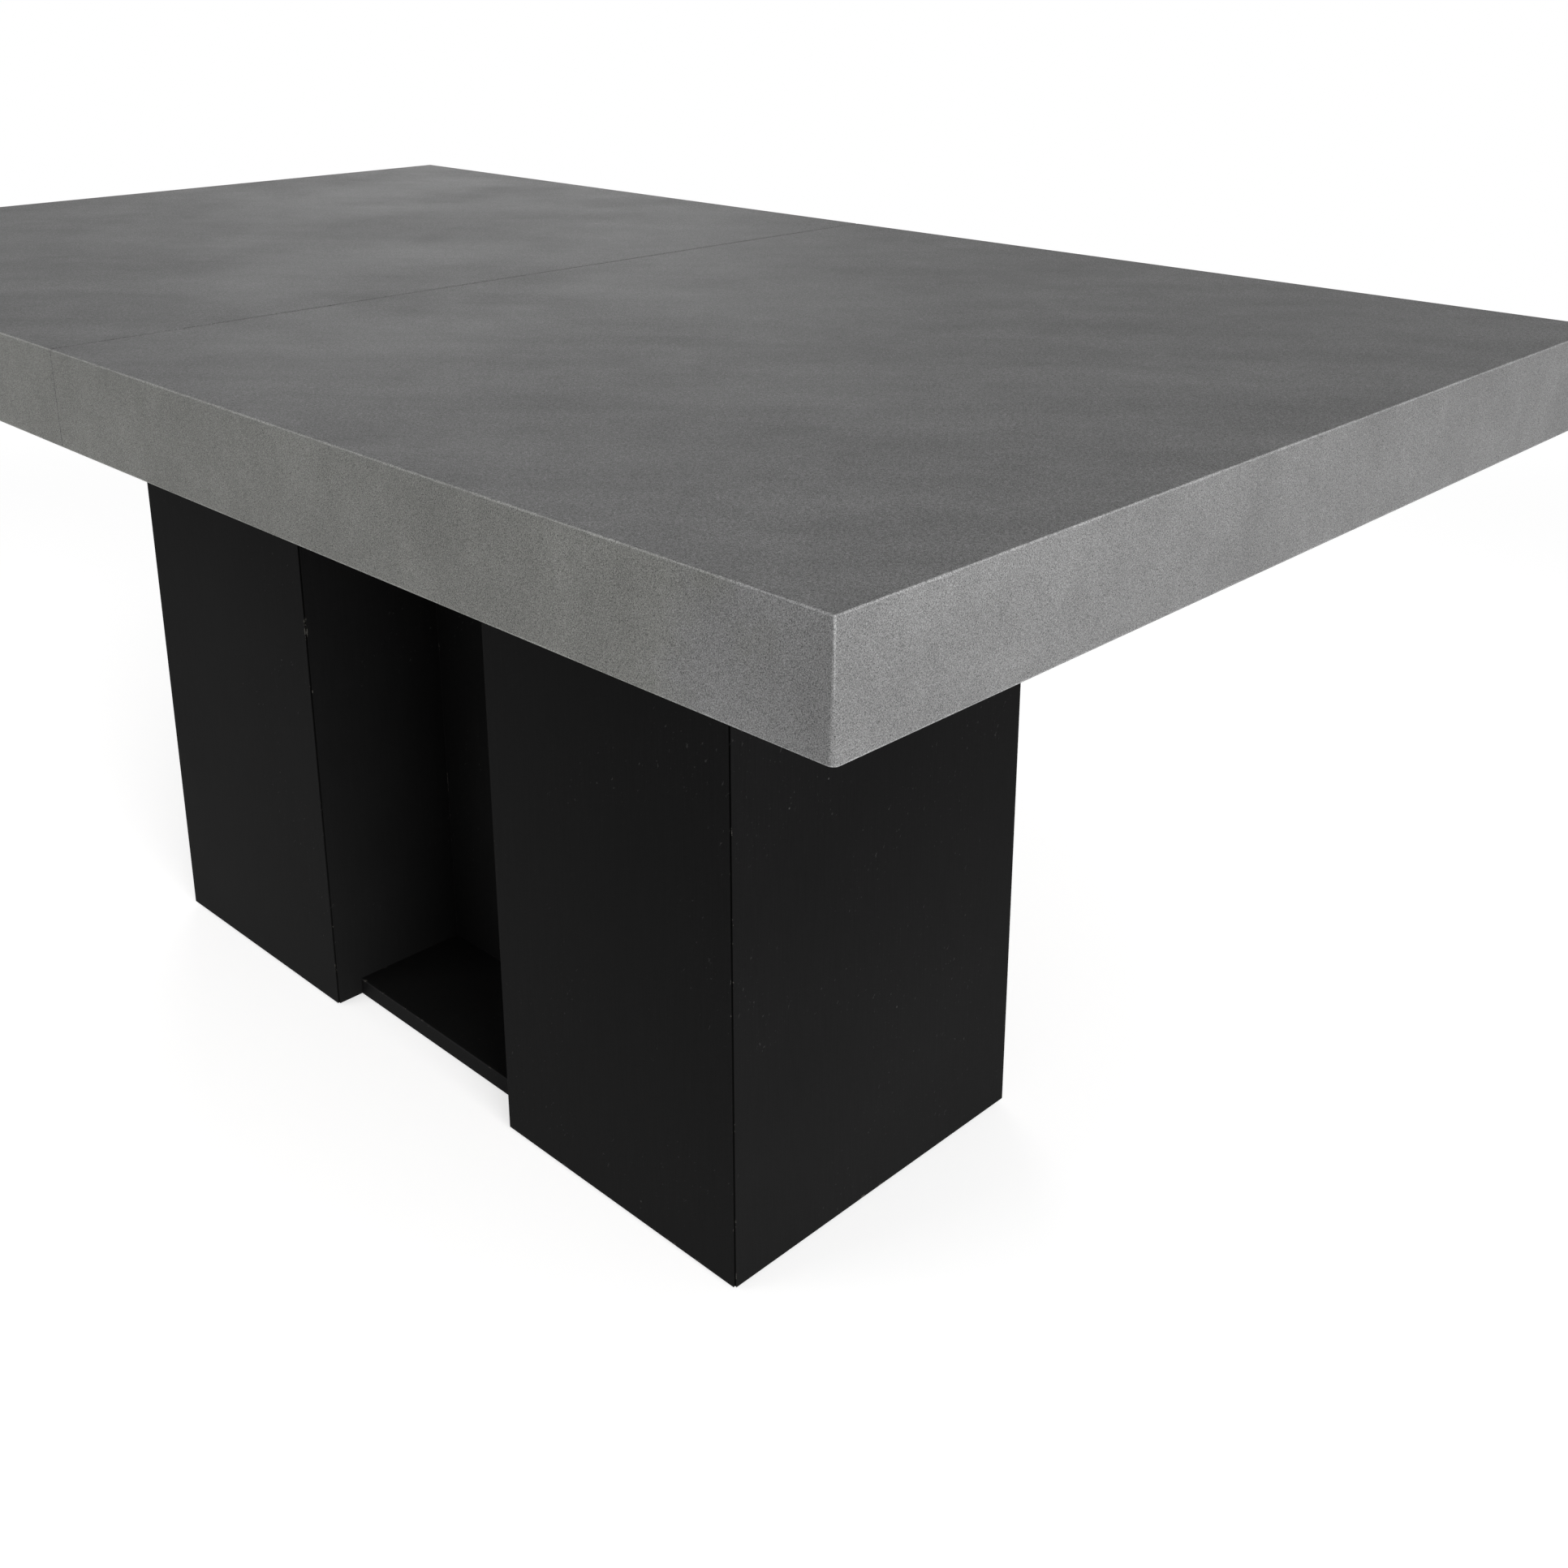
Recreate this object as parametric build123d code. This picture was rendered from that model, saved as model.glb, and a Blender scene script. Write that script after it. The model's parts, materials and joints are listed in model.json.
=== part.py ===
"""Extendable dining table: two cast half tops slide apart over a leaf that rises to fill the gap.

Frame: origin on the floor under the table's middle, X along the table, Y across it, +Z up, millimetres.
The right half is modelled and its mirror image is the left half.
"""
from build123d import *
from math import acos, cos, pi, radians, sin, sqrt, tan
import os

# Overall sizes of the closed table
table_length = 1600.0
table_width = 900.0
table_height = 760.0
slide_travel = 250.0

# Cast half tops
edge_depth = 76.0
panel_thickness = 16.0
skirt_thickness = 18.0
corner_radius = 2.5
top_arris = 1.5
bottom_arris = 2.5
inner_corner_radius = 12.0

# Leaf
skin_thickness = 8.0
core_thickness = 10.0
core_inset = 4.0
leaf_side_gap = 4.0
leaf_end_gap = 1.5
lift_clearance = 3.0
leaf_post_radius = 5.0
leaf_post_x = 200.0
leaf_post_y = 170.0
leaf_post_seat = 8.0
leaf_post_tail = 8.0
catch_groove_depth = 0.8
catch_groove_width = 3.0

# Fits
running_gap = 0.05
slide_gap = 0.3

# Leaf carriage
skid_height = 5.0
skid_length = 30.0
skid_width = 18.0
skid_offset = 35.0
leaf_gap = 1.0
carriage_bar_width = 24.0
carriage_bar_overhang = 15.0
bush_wall = 2.5
guide_post_radius = 8.0
guide_post_tail = 8.0
guide_foot_radius = 15.0
guide_foot_height = 5.0

# Runners, lopers and rails
rail_offset = 230.0
rail_width = 40.0
rail_height = 30.0
rail_wall = 3.0
rail_slot = 15.0
rail_setback = 6.0
rail_top_gap = 2.0
glide_wall = 3.0
glide_length = 40.0
neck_width = 9.0
runner_cap_width = 30.0
runner_cap_height = 8.0
runner_start = 15.0
runner_reach = 690.0
loper_thin = 3.0
loper_width = 24.0
loper_margin = 2.0

# Bearers under each half top
bearer_width = 36.0
bearer_gap = 27.0
bearer_setback = 14.0
bearer_end_gap = 30.0

# Rack and pinion
gear_module = 2.5
dedendum_modules = 1.25
pinion_teeth = 18
pressure_angle = radians(20.0)
flank_points = 5
backlash = 0.4
gear_width = 12.0
gear_rise = 4.0
rack_back = 12.0
rack_tooth_margin = 14.0
rack_stop_length = 10.0
rack_stop_gap = 1.0
bracket_length = 28.0
guide_length = 40.0
guide_wall = 10.0
guide_lip = 3.0
guide_lip_reach = 6.0
pinion_pin_radius = 6.0
pinion_collar_radius = 10.0
pinion_pin_tail = 5.0
clip_thickness = 1.5

# Steel on top of the base
cross_bar_width = 30.0
cross_bar_height = 20.0
cross_bar_wall = 2.5
cross_bar_inset = 36.0
cross_bar_overhang = 10.0
bridge_width = 50.0
bridge_thickness = 5.0
bolt_radius = 4.0
bolt_head_radius = 7.0
bolt_head_height = 5.0
cross_bolt_y = 120.0
bridge_bolt_x = 12.0

# Base
column_length = 302.0
column_width = 356.0
bay_length = 288.0
board_thickness = 22.0
mitre_gap = 0.6
board_ease = 0.8
cap_thickness = 18.0
corner_post_width = 40.0
web_thickness = 56.0
web_board_thickness = 18.0
web_batten_height = 40.0
floor_board_setback = 28.0
foot_gap = 4.0
foot_radius = 15.0
foot_inset = 45.0

# Locks under the joint
lock_clearance = 4.0
lock_plate_thickness = 3.0
lock_plate_length = 40.0
lock_skirt_gap = 20.0
lock_pivot_x = 35.0
lock_arm = 60.0
lock_arm_width = 24.0
lock_lip_length = 10.0
lock_notch_length = 18.0
lock_tab_length = 22.0
lock_tab_width = 16.0
lock_lever_thickness = 4.0
lock_pivot_radius = 4.0
lock_head_radius = 6.5
lock_head_height = 2.5
lock_plate_margin = 8.0
keeper_radius = 3.0
keeper_clearance = 1.0
unlocked_angle = 90.0

# Levels, worked down from the table's surface
top_under = table_height - panel_thickness
edge_bottom = table_height - edge_depth
lift = panel_thickness + lift_clearance
leaf_top = table_height - 2 * lift
leaf_seam = leaf_top - skin_thickness
leaf_bottom = leaf_seam - core_thickness
loper_slope = lift / slide_travel
loper_run = slide_travel + skid_length / 2 + loper_margin
skid_face = leaf_bottom - leaf_gap - loper_slope * loper_run
carriage_bottom = skid_face + skid_height
carriage_height = leaf_bottom - carriage_bottom
runner_top = skid_face - slide_gap - loper_thin
rail_top = runner_top - runner_cap_height - rail_top_gap
rail_bottom = rail_top - rail_height
column_top = rail_bottom - cross_bar_height
gear_bottom = rail_bottom + gear_rise
gear_top = gear_bottom + gear_width

# Places along and across the table
half_length = table_length / 2
half_width = table_width / 2
skirt_face = half_width - skirt_thickness
skid_x = slide_travel + skid_offset
carriage_bar_end = rail_offset + carriage_bar_overhang
column_inner = bay_length / 2
column_outer = column_inner + column_length
column_x = column_inner + column_length / 2
rail_end = column_outer - rail_setback
inner_bearer_x = skid_x + carriage_bar_width / 2 + bearer_gap + bearer_width / 2
outer_bearer_x = runner_reach - bearer_setback - bearer_width / 2
cross_bar_places = (column_inner + cross_bar_inset, column_outer - cross_bar_inset)
flange_width = rail_width - 2 * rail_wall - 2 * glide_wall
flange_height = rail_height - 2 * rail_wall - 2 * glide_wall
pitch_radius = gear_module * pinion_teeth / 2
tooth_depth = dedendum_modules * gear_module
rack_root = pitch_radius + tooth_depth
rack_rear = rack_root + rack_back
lock_y = skirt_face - lock_skirt_gap
lock_level = leaf_bottom - lock_clearance
lever_top = lock_level - lock_plate_thickness - slide_gap
lever_bottom = lever_top - lock_lever_thickness


def block(x_span, y_span, z_span):
    """A box between two values on each axis."""
    spans = (x_span, y_span, z_span)
    centre = [(low + high) / 2 for low, high in spans]
    return Pos(*centre) * Box(*(high - low for low, high in spans))


def rod(x, y, radius, z_span):
    """An upright cylinder between two levels."""
    low, high = z_span
    return Pos(x, y, (low + high) / 2) * Cylinder(radius, high - low)


def about(middle, width):
    """The span of a given width round a middle value."""
    return middle - width / 2, middle + width / 2


def bolt_head(x, y, z_span):
    """A hexagon bolt head between two levels."""
    low, high = z_span
    return Pos(x, y, low) * extrude(RegularPolygon(bolt_head_radius, 6), amount=high - low)


def mirrored(solids):
    """The left-hand pieces for a list of right-hand ones."""
    return [mirror(solid, about=Plane.YZ) for solid in solids]


def along_x(section, x_span, y, z):
    """Run a section, drawn across the table, along the table."""
    low, high = x_span
    return Pos(low, y, z) * extrude(Plane.YZ * section, amount=high - low)


def across_y(points, y, width):
    """Run an outline, drawn in X and Z, across the table."""
    face = Plane.XZ * make_face(Polyline(*points, close=True))
    return Pos(0, y, 0) * extrude(face, amount=width / 2, both=True)


def half_top():
    """One cast half top: a panel with edges turned down on three sides, open at the joint."""
    shell = block((0, half_length), (-half_width, half_width), (edge_bottom, table_height))
    shell = fillet(shell.edges().filter_by(Axis.Z).group_by(Axis.X)[-1], corner_radius)
    shell = fillet(shell.faces().sort_by(Axis.Z)[-1].edges(), top_arris)
    shell = fillet(shell.faces().sort_by(Axis.Z)[0].edges(), bottom_arris)
    hollow = block((-half_length, half_length - skirt_thickness), (-skirt_face, skirt_face), (0, top_under))
    hollow = fillet(hollow.edges().filter_by(Axis.Z).group_by(Axis.X)[-1], inner_corner_radius)
    return shell - hollow


def top_bearers():
    """Two timber bearers across each half top."""
    reach = skirt_face - bearer_end_gap
    places = (inner_bearer_x, outer_bearer_x)
    return [block(about(x, bearer_width), (-reach, reach), (runner_top, top_under)) for x in places]


def channel(width, height, wall, slot):
    """A box section with a slot along its top."""
    mouth = Pos(0, height / 2) * Rectangle(slot, 2 * wall)
    return Rectangle(width, height) - Rectangle(width - 2 * wall, height - 2 * wall) - mouth


def runner(y):
    """A sliding bar: a flange held in the rail, a neck through its slot and a cap above it."""
    rail_middle = rail_top - rail_height / 2
    cap_bottom = runner_top - runner_cap_height
    flange = Rectangle(flange_width, flange_height)
    neck_height = cap_bottom - rail_middle
    neck = Pos(0, neck_height / 2) * Rectangle(neck_width, neck_height)
    cap = Pos(0, neck_height + runner_cap_height / 2) * Rectangle(runner_cap_width, runner_cap_height)
    return along_x(flange + neck + cap, (runner_start, runner_reach), y, rail_middle)


def rail(y):
    """A fixed rail with a slot along its top."""
    section = channel(rail_width, rail_height, rail_wall, rail_slot)
    return along_x(section, (-rail_end, rail_end), y, rail_top - rail_height / 2)


def runner_glide(y):
    """A nylon shoe round the inner end of a runner's flange."""
    width = rail_width - 2 * rail_wall - 2 * slide_gap
    height = rail_height - 2 * rail_wall - 2 * slide_gap
    section = channel(width, height, glide_wall - slide_gap, neck_width)
    return along_x(section, (runner_start, runner_start + glide_length), y, rail_top - rail_height / 2)


def rail_bush(y):
    """A nylon bush in the end of a rail, round the runner's flange."""
    width = rail_width - 2 * rail_wall
    height = rail_height - 2 * rail_wall
    section = channel(width, height, glide_wall - slide_gap, neck_width + 2 * slide_gap)
    return along_x(section, (rail_end - glide_length, rail_end), y, rail_top - rail_height / 2)


def loper(y):
    """A tapered strip on a runner that lifts the carriage as the runner moves out."""
    inner_x = skid_x - loper_run
    outer_x = skid_x + skid_length / 2 + loper_margin
    level = skid_face - slide_gap
    points = [
        (inner_x, runner_top),
        (outer_x, runner_top),
        (outer_x, level - loper_slope * (outer_x - skid_x)),
        (inner_x, level + loper_slope * loper_run),
    ]
    return across_y(points, y, loper_width)


def carriage_skid(y):
    """A nylon pad under the carriage with the loper's slope."""
    inner_x, outer_x = about(skid_x, skid_length)
    rise = loper_slope * skid_length / 2
    points = [
        (inner_x, carriage_bottom),
        (outer_x, carriage_bottom),
        (outer_x, skid_face - rise),
        (inner_x, skid_face + rise),
    ]
    return across_y(points, y, skid_width)


def leaf_post_places():
    """The four post positions under the leaf."""
    return [(sx * leaf_post_x, sy * leaf_post_y) for sx in (-1, 1) for sy in (-1, 1)]


def carriage_cross_bar():
    """A bar across the carriage, with a hole for the guide bush."""
    levels = (carriage_bottom, leaf_bottom)
    bar = block(about(skid_x, carriage_bar_width), (-carriage_bar_end, carriage_bar_end), levels)
    return bar - rod(skid_x, 0, guide_post_radius + running_gap + bush_wall, levels)


def carriage_side_bar(y):
    """A bar along the carriage, with holes for two leaf bushes."""
    levels = (carriage_bottom, leaf_bottom)
    reach = skid_x - carriage_bar_width / 2
    bar = block((-reach, reach), about(y, carriage_bar_width), levels)
    for x in (-leaf_post_x, leaf_post_x):
        bar -= rod(x, y, leaf_post_radius + running_gap + bush_wall, levels)
    return bar


def bush(x, y, shaft_radius):
    """A nylon bush through a carriage bar."""
    levels = (carriage_bottom, leaf_bottom)
    bore = rod(x, y, shaft_radius + running_gap, levels)
    return rod(x, y, shaft_radius + running_gap + bush_wall, levels) - bore


def guide_post():
    """An upright post on the column that keeps the carriage level."""
    top = leaf_bottom + lift + guide_post_tail
    foot = rod(skid_x, 0, guide_foot_radius, (column_top, column_top + guide_foot_height))
    return foot + rod(skid_x, 0, guide_post_radius, (column_top, top))


def leaf_skin():
    """The cast face of the leaf."""
    reach = slide_travel - leaf_end_gap
    side = skirt_face - leaf_side_gap
    skin = block((-reach, reach), (-side, side), (leaf_seam, leaf_top))
    return fillet(skin.faces().sort_by(Axis.Z)[-1].edges(), top_arris)


def leaf_core():
    """The plywood back of the leaf, with seats for the posts."""
    reach = slide_travel - leaf_end_gap - core_inset
    side = skirt_face - leaf_side_gap - core_inset
    core = block((-reach, reach), (-side, side), (leaf_bottom, leaf_seam))
    for x, y in leaf_post_places():
        core -= rod(x, y, leaf_post_radius, (leaf_bottom, leaf_bottom + leaf_post_seat))
    return core


def leaf_post(x, y):
    """A post under the leaf, with a groove that catches in its bush when the leaf is up."""
    bottom = leaf_bottom - carriage_height - lift - leaf_post_tail
    groove_middle = leaf_bottom - carriage_height / 2 - lift
    levels = about(groove_middle, catch_groove_width)
    ring = rod(x, y, leaf_post_radius, levels) - rod(x, y, leaf_post_radius - catch_groove_depth, levels)
    return rod(x, y, leaf_post_radius, (bottom, leaf_bottom + leaf_post_seat)) - ring


def involute_polar(radius, base_radius):
    """The angle that an involute has turned through at a radius."""
    turn = acos(base_radius / radius)
    return tan(turn) - turn


def pinion():
    """The pinion that makes both racks move together, with a tooth towards each rack."""
    base_radius = pitch_radius * cos(pressure_angle)
    tip_radius = pitch_radius + gear_module
    root_radius = pitch_radius - tooth_depth
    half_tooth = pi / (2 * pinion_teeth) + involute_polar(pitch_radius, base_radius)
    start_radius = max(base_radius, root_radius)
    step = (tip_radius - start_radius) / (flank_points - 1)
    radii = [start_radius + step * index for index in range(flank_points)]
    rising = [(root_radius, -half_tooth)]
    rising += [(radius, involute_polar(radius, base_radius) - half_tooth) for radius in radii]
    falling = [(radius, -angle) for radius, angle in reversed(rising)]
    points = []
    for tooth in range(pinion_teeth):
        middle = pi / 2 + 2 * pi * tooth / pinion_teeth
        points += [(r * cos(middle + a), r * sin(middle + a)) for r, a in rising + falling]
    outline = make_face(Polyline(*points, close=True))
    wheel = Pos(0, 0, gear_bottom) * extrude(outline, amount=gear_width)
    return wheel - rod(0, 0, pinion_pin_radius + running_gap, (gear_bottom, gear_top))


def rack():
    """The right half's rack: a bar with straight-sided teeth and a stop at its inner end."""
    pitch = pi * gear_module
    half_pitch_tooth = pitch / 4 - backlash / 2
    half_tip = half_pitch_tooth - gear_module * tan(pressure_angle)
    half_root = half_pitch_tooth + tooth_depth * tan(pressure_angle)
    tip = pitch_radius - gear_module
    stop_end = -guide_length / 2 - rack_stop_gap - slide_travel
    start = stop_end - rack_stop_length
    end = inner_bearer_x + bearer_width / 2
    first = -round((slide_travel + rack_tooth_margin) / pitch)
    last = round(rack_tooth_margin / pitch)
    points = [(start, rack_root)]
    for index in range(first, last):
        middle = (index + 0.5) * pitch
        points += [(middle - half_root, rack_root), (middle - half_tip, tip)]
        points += [(middle + half_tip, tip), (middle + half_root, rack_root)]
    points += [(end, rack_root), (end, rack_rear), (stop_end, rack_rear)]
    points += [(stop_end, rack_rear + guide_wall), (start, rack_rear + guide_wall)]
    outline = make_face(Polyline(*points, close=True))
    return Pos(0, 0, gear_bottom) * extrude(outline, amount=gear_width)


def rack_bracket():
    """The block that hangs the rack from the inner bearer."""
    return block(about(inner_bearer_x, bracket_length), (rack_root, rack_rear), (gear_top, runner_top))


def rack_guide():
    """A nylon guide behind and over the rack that keeps it in mesh."""
    near = rack_rear + slide_gap
    lip_bottom = gear_top + slide_gap
    lip_top = lip_bottom + guide_lip
    points = [
        (near, rail_bottom),
        (near + guide_wall, rail_bottom),
        (near + guide_wall, lip_top),
        (rack_rear - guide_lip_reach, lip_top),
        (rack_rear - guide_lip_reach, lip_bottom),
        (near, lip_bottom),
    ]
    section = make_face(Polyline(*points, close=True))
    return along_x(section, about(0, guide_length), 0, 0)


def pinion_pin():
    """The fixed pin that the pinion turns on, with a collar below the pinion."""
    pin = rod(0, 0, pinion_pin_radius, (rail_bottom - bridge_thickness, gear_top + pinion_pin_tail))
    return pin + rod(0, 0, pinion_collar_radius, (rail_bottom, gear_bottom - slide_gap))


def pinion_clip():
    """A ring on the pin above the pinion."""
    levels = (gear_top + slide_gap, gear_top + slide_gap + clip_thickness)
    return rod(0, 0, pinion_collar_radius, levels) - rod(0, 0, pinion_pin_radius, levels)


def bridge_bolt_places():
    """Where the bridge is bolted up to the rails."""
    return [(sx * bridge_bolt_x, sy * rail_offset) for sx in (-1, 1) for sy in (-1, 1)]


def drilled_for_bridge(piece):
    """Drill a piece for the bridge bolts and the pinion pin."""
    levels = (rail_bottom - bridge_thickness, rail_bottom + rail_wall)
    for x, y in bridge_bolt_places():
        piece -= rod(x, y, bolt_radius, levels)
    return piece - rod(0, 0, pinion_pin_radius, levels)


def pinion_bridge():
    """A flat bar under both rails that carries the pinion."""
    reach = rail_offset + rail_width / 2
    levels = (rail_bottom - bridge_thickness, rail_bottom)
    return drilled_for_bridge(block(about(0, bridge_width), (-reach, reach), levels))


def bridge_bolt(x, y):
    """A bolt up through the bridge into a rail's floor."""
    under = rail_bottom - bridge_thickness
    head = bolt_head(x, y, (under - bolt_head_height, under))
    return head + rod(x, y, bolt_radius, (under, rail_bottom + rail_wall))


def cross_bolt_places():
    """Where the right column's cross bars are bolted down."""
    return [(x, sy * cross_bolt_y) for x in cross_bar_places for sy in (-1, 1)]


def cross_bar(x):
    """A steel tube across a column's top that carries the rails."""
    reach = rail_offset + rail_width / 2 + cross_bar_overhang
    bore_width = cross_bar_width - 2 * cross_bar_wall
    bore_height = cross_bar_height - 2 * cross_bar_wall
    middle = column_top + cross_bar_height / 2
    section = Rectangle(cross_bar_width, cross_bar_height) - Rectangle(bore_width, bore_height)
    tube = Pos(x, 0, middle) * extrude(Plane.XZ * section, amount=reach, both=True)
    for y in (-cross_bolt_y, cross_bolt_y):
        tube -= rod(x, y, bolt_radius, (column_top, rail_bottom))
    return tube


def cross_bolt(x, y):
    """A bolt down through a cross bar into the column's cap."""
    head = bolt_head(x, y, (rail_bottom, rail_bottom + bolt_head_height))
    return head + rod(x, y, bolt_radius, (column_top - cap_thickness, rail_bottom))


def mitred_board(length):
    """An upright board with mitred ends: its face looks along -Y, its ends stop short of the mitre line."""
    face_end = length / 2 - mitre_gap / sqrt(2)
    back_end = face_end - board_thickness
    points = [(-face_end, 0), (face_end, 0), (back_end, board_thickness), (-back_end, board_thickness)]
    board = extrude(make_face(Polyline(*points, close=True)), amount=column_top - foot_gap)
    board = chamfer(board.edges().filter_by(Axis.Z).group_by(Axis.Y)[0], board_ease)
    return Pos(0, 0, foot_gap) * board


def column_boards():
    """The right column's four boards, by the side that each one faces."""
    half_across = column_width / 2
    return {
        "front": Pos(column_x, -half_across, 0) * mitred_board(column_length),
        "outer": Pos(column_outer, 0, 0) * Rot(0, 0, 90) * mitred_board(column_width),
        "back": Pos(column_x, half_across, 0) * Rot(0, 0, 180) * mitred_board(column_length),
        "inner": Pos(column_inner, 0, 0) * Rot(0, 0, 270) * mitred_board(column_width),
    }


def column_inside():
    """The spans of the right column's inside, along and across the table."""
    inside_y = column_width / 2 - board_thickness
    return (column_inner + board_thickness, column_outer - board_thickness), (-inside_y, inside_y)


def corner_posts():
    """Glue blocks in the right column's corners."""
    (x_low, x_high), (y_low, y_high) = column_inside()
    levels = (foot_gap + cap_thickness, column_top - cap_thickness)
    x_spans = ((x_low, x_low + corner_post_width), (x_high - corner_post_width, x_high))
    y_spans = ((y_low, y_low + corner_post_width), (y_high - corner_post_width, y_high))
    return [block(x_span, y_span, levels) for x_span in x_spans for y_span in y_spans]


def column_caps():
    """The boards that close the right column at the top and the bottom."""
    x_span, y_span = column_inside()
    top = block(x_span, y_span, (column_top - cap_thickness, column_top))
    for x, y in cross_bolt_places():
        top -= rod(x, y, bolt_radius, (column_top - cap_thickness, column_top))
    return [top, block(x_span, y_span, (foot_gap, foot_gap + cap_thickness))]


def web_boards():
    """The recessed boards between the columns, front and back."""
    outer_y = web_thickness / 2
    inner_y = outer_y - web_board_thickness
    x_span = (-column_inner, column_inner)
    levels = (foot_gap + cap_thickness, column_top)
    return block(x_span, (-outer_y, -inner_y), levels), block(x_span, (inner_y, outer_y), levels)


def web_battens():
    """Battens between the two web boards, at the foot and at the top."""
    reach = web_thickness / 2 - web_board_thickness
    x_span = (-column_inner, column_inner)
    foot = foot_gap + cap_thickness
    low = block(x_span, (-reach, reach), (foot, foot + web_batten_height))
    return [low, block(x_span, (-reach, reach), (column_top - web_batten_height, column_top))]


def floor_board():
    """The board at the foot of the recess between the columns."""
    reach = column_width / 2 - floor_board_setback
    return block((-column_inner, column_inner), (-reach, reach), (foot_gap, foot_gap + cap_thickness))


def floor_glides():
    """Glides under the columns and the floor board."""
    (x_low, x_high), (y_low, y_high) = column_inside()
    y_places = (y_low + foot_inset, y_high - foot_inset)
    places = [(x, y) for x in (x_low + foot_inset, x_high - foot_inset) for y in y_places]
    right = [rod(x, y, foot_radius, (0, foot_gap)) for x, y in places]
    middle = [rod(0, y, foot_radius, (0, foot_gap)) for y in y_places]
    return right + mirrored(right) + middle


def lock_plate(x, pin_radius):
    """An angle plate on a skirt at the front, drilled for the pin that hangs from it."""
    x_span = about(x, lock_plate_length)
    flat_levels = (lock_level - lock_plate_thickness, lock_level)
    wall_levels = (lever_bottom - lock_head_height, lock_level)
    flat = block(x_span, (-skirt_face, -lock_y + lock_plate_margin), flat_levels)
    wall = block(x_span, (-skirt_face, -skirt_face + lock_plate_thickness), wall_levels)
    return flat + wall - rod(x, -lock_y, pin_radius, flat_levels)


def lock_pin():
    """The headed pin that the front lever turns on."""
    head_top = lever_bottom - slide_gap
    head = rod(-lock_pivot_x, -lock_y, lock_head_radius, (head_top - lock_head_height, head_top))
    return head + rod(-lock_pivot_x, -lock_y, lock_pivot_radius, (head_top, lock_level))


def lock_keeper_pin():
    """The front pin that the lever hooks on."""
    return rod(lock_arm - lock_pivot_x, -lock_y, keeper_radius, (lever_bottom, lock_level))


def lock_lever():
    """The front lever, turned in from the joint: a flat bar whose side notch swings round the keeper pin."""
    seat = keeper_radius + keeper_clearance
    notch_start = lock_arm + seat - lock_notch_length
    lip_end = lock_arm + seat + lock_lip_length
    bar = Pos(lip_end / 2, 0) * Rectangle(lip_end, lock_arm_width) + Circle(lock_arm_width / 2)
    tab_end = lip_end + lock_tab_length
    tab = Pos((lock_arm + tab_end) / 2, (lock_arm_width - lock_tab_width) / 2)
    outline = bar + tab * Rectangle(tab_end - lock_arm, lock_tab_width)
    entry = Pos((notch_start + lock_arm + seat) / 2, -lock_arm_width / 2)
    notch = entry * Rectangle(lock_notch_length, lock_arm_width) + Pos(lock_arm, 0) * Circle(seat)
    notch += Pos((notch_start + lock_arm) / 2, 0) * Rectangle(lock_arm - notch_start, 2 * seat)
    outline = outline - notch - Circle(lock_pivot_radius + running_gap)
    lever = extrude(outline, amount=lock_lever_thickness)
    return Pos(-lock_pivot_x, -lock_y, lever_bottom) * Rot(0, 0, unlocked_angle) * lever


def front_and_back(solid):
    """A front piece and its mirror image at the back."""
    return [solid, mirror(solid, about=Plane.XZ)]


def top_pieces():
    """Both half tops with all that rides on them."""
    both_y = (-rail_offset, rail_offset)
    right_rack = rack()
    bracket = rack_bracket()
    turned = Rot(0, 0, 180)
    pieces = {"right_half_top": [half_top()], "right_top_bearers": top_bearers()}
    pieces["right_front_runner"] = [runner(-rail_offset)]
    pieces["right_back_runner"] = [runner(rail_offset)]
    pieces["right_runner_glides"] = [runner_glide(y) for y in both_y]
    pieces["right_lopers"] = [loper(y) for y in both_y]
    left = {name.replace("right", "left", 1): mirrored(solids) for name, solids in pieces.items()}
    pieces.update(left)
    pieces["right_rack"] = [right_rack]
    pieces["left_rack"] = [turned * right_rack]
    pieces["right_rack_bracket"] = [bracket]
    pieces["left_rack_bracket"] = [turned * bracket]
    front_lever, back_lever = front_and_back(lock_lever())
    keeper_x = lock_arm - lock_pivot_x
    pieces["lock_plates"] = front_and_back(lock_plate(-lock_pivot_x, lock_pivot_radius))
    pieces["lock_pins"] = front_and_back(lock_pin())
    pieces["front_lock_lever"] = [front_lever]
    pieces["back_lock_lever"] = [back_lever]
    pieces["keeper_plates"] = front_and_back(lock_plate(keeper_x, keeper_radius))
    pieces["keeper_pins"] = front_and_back(lock_keeper_pin())
    return pieces


def leaf_pieces():
    """The leaf and the carriage that lifts it."""
    both_y = (-rail_offset, rail_offset)
    cross_bars = [carriage_cross_bar()]
    skids = [carriage_skid(y) for y in both_y]
    guide_bushes = [bush(skid_x, 0, guide_post_radius)]
    posts = leaf_post_places()
    return {
        "leaf_skin": [leaf_skin()],
        "leaf_core": [leaf_core()],
        "leaf_posts": [leaf_post(x, y) for x, y in posts],
        "leaf_bushes": [bush(x, y, leaf_post_radius) for x, y in posts],
        "carriage_side_bars": [carriage_side_bar(y) for y in (-leaf_post_y, leaf_post_y)],
        "carriage_cross_bars": cross_bars + mirrored(cross_bars),
        "carriage_skids": skids + mirrored(skids),
        "carriage_bushes": guide_bushes + mirrored(guide_bushes),
    }


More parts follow.
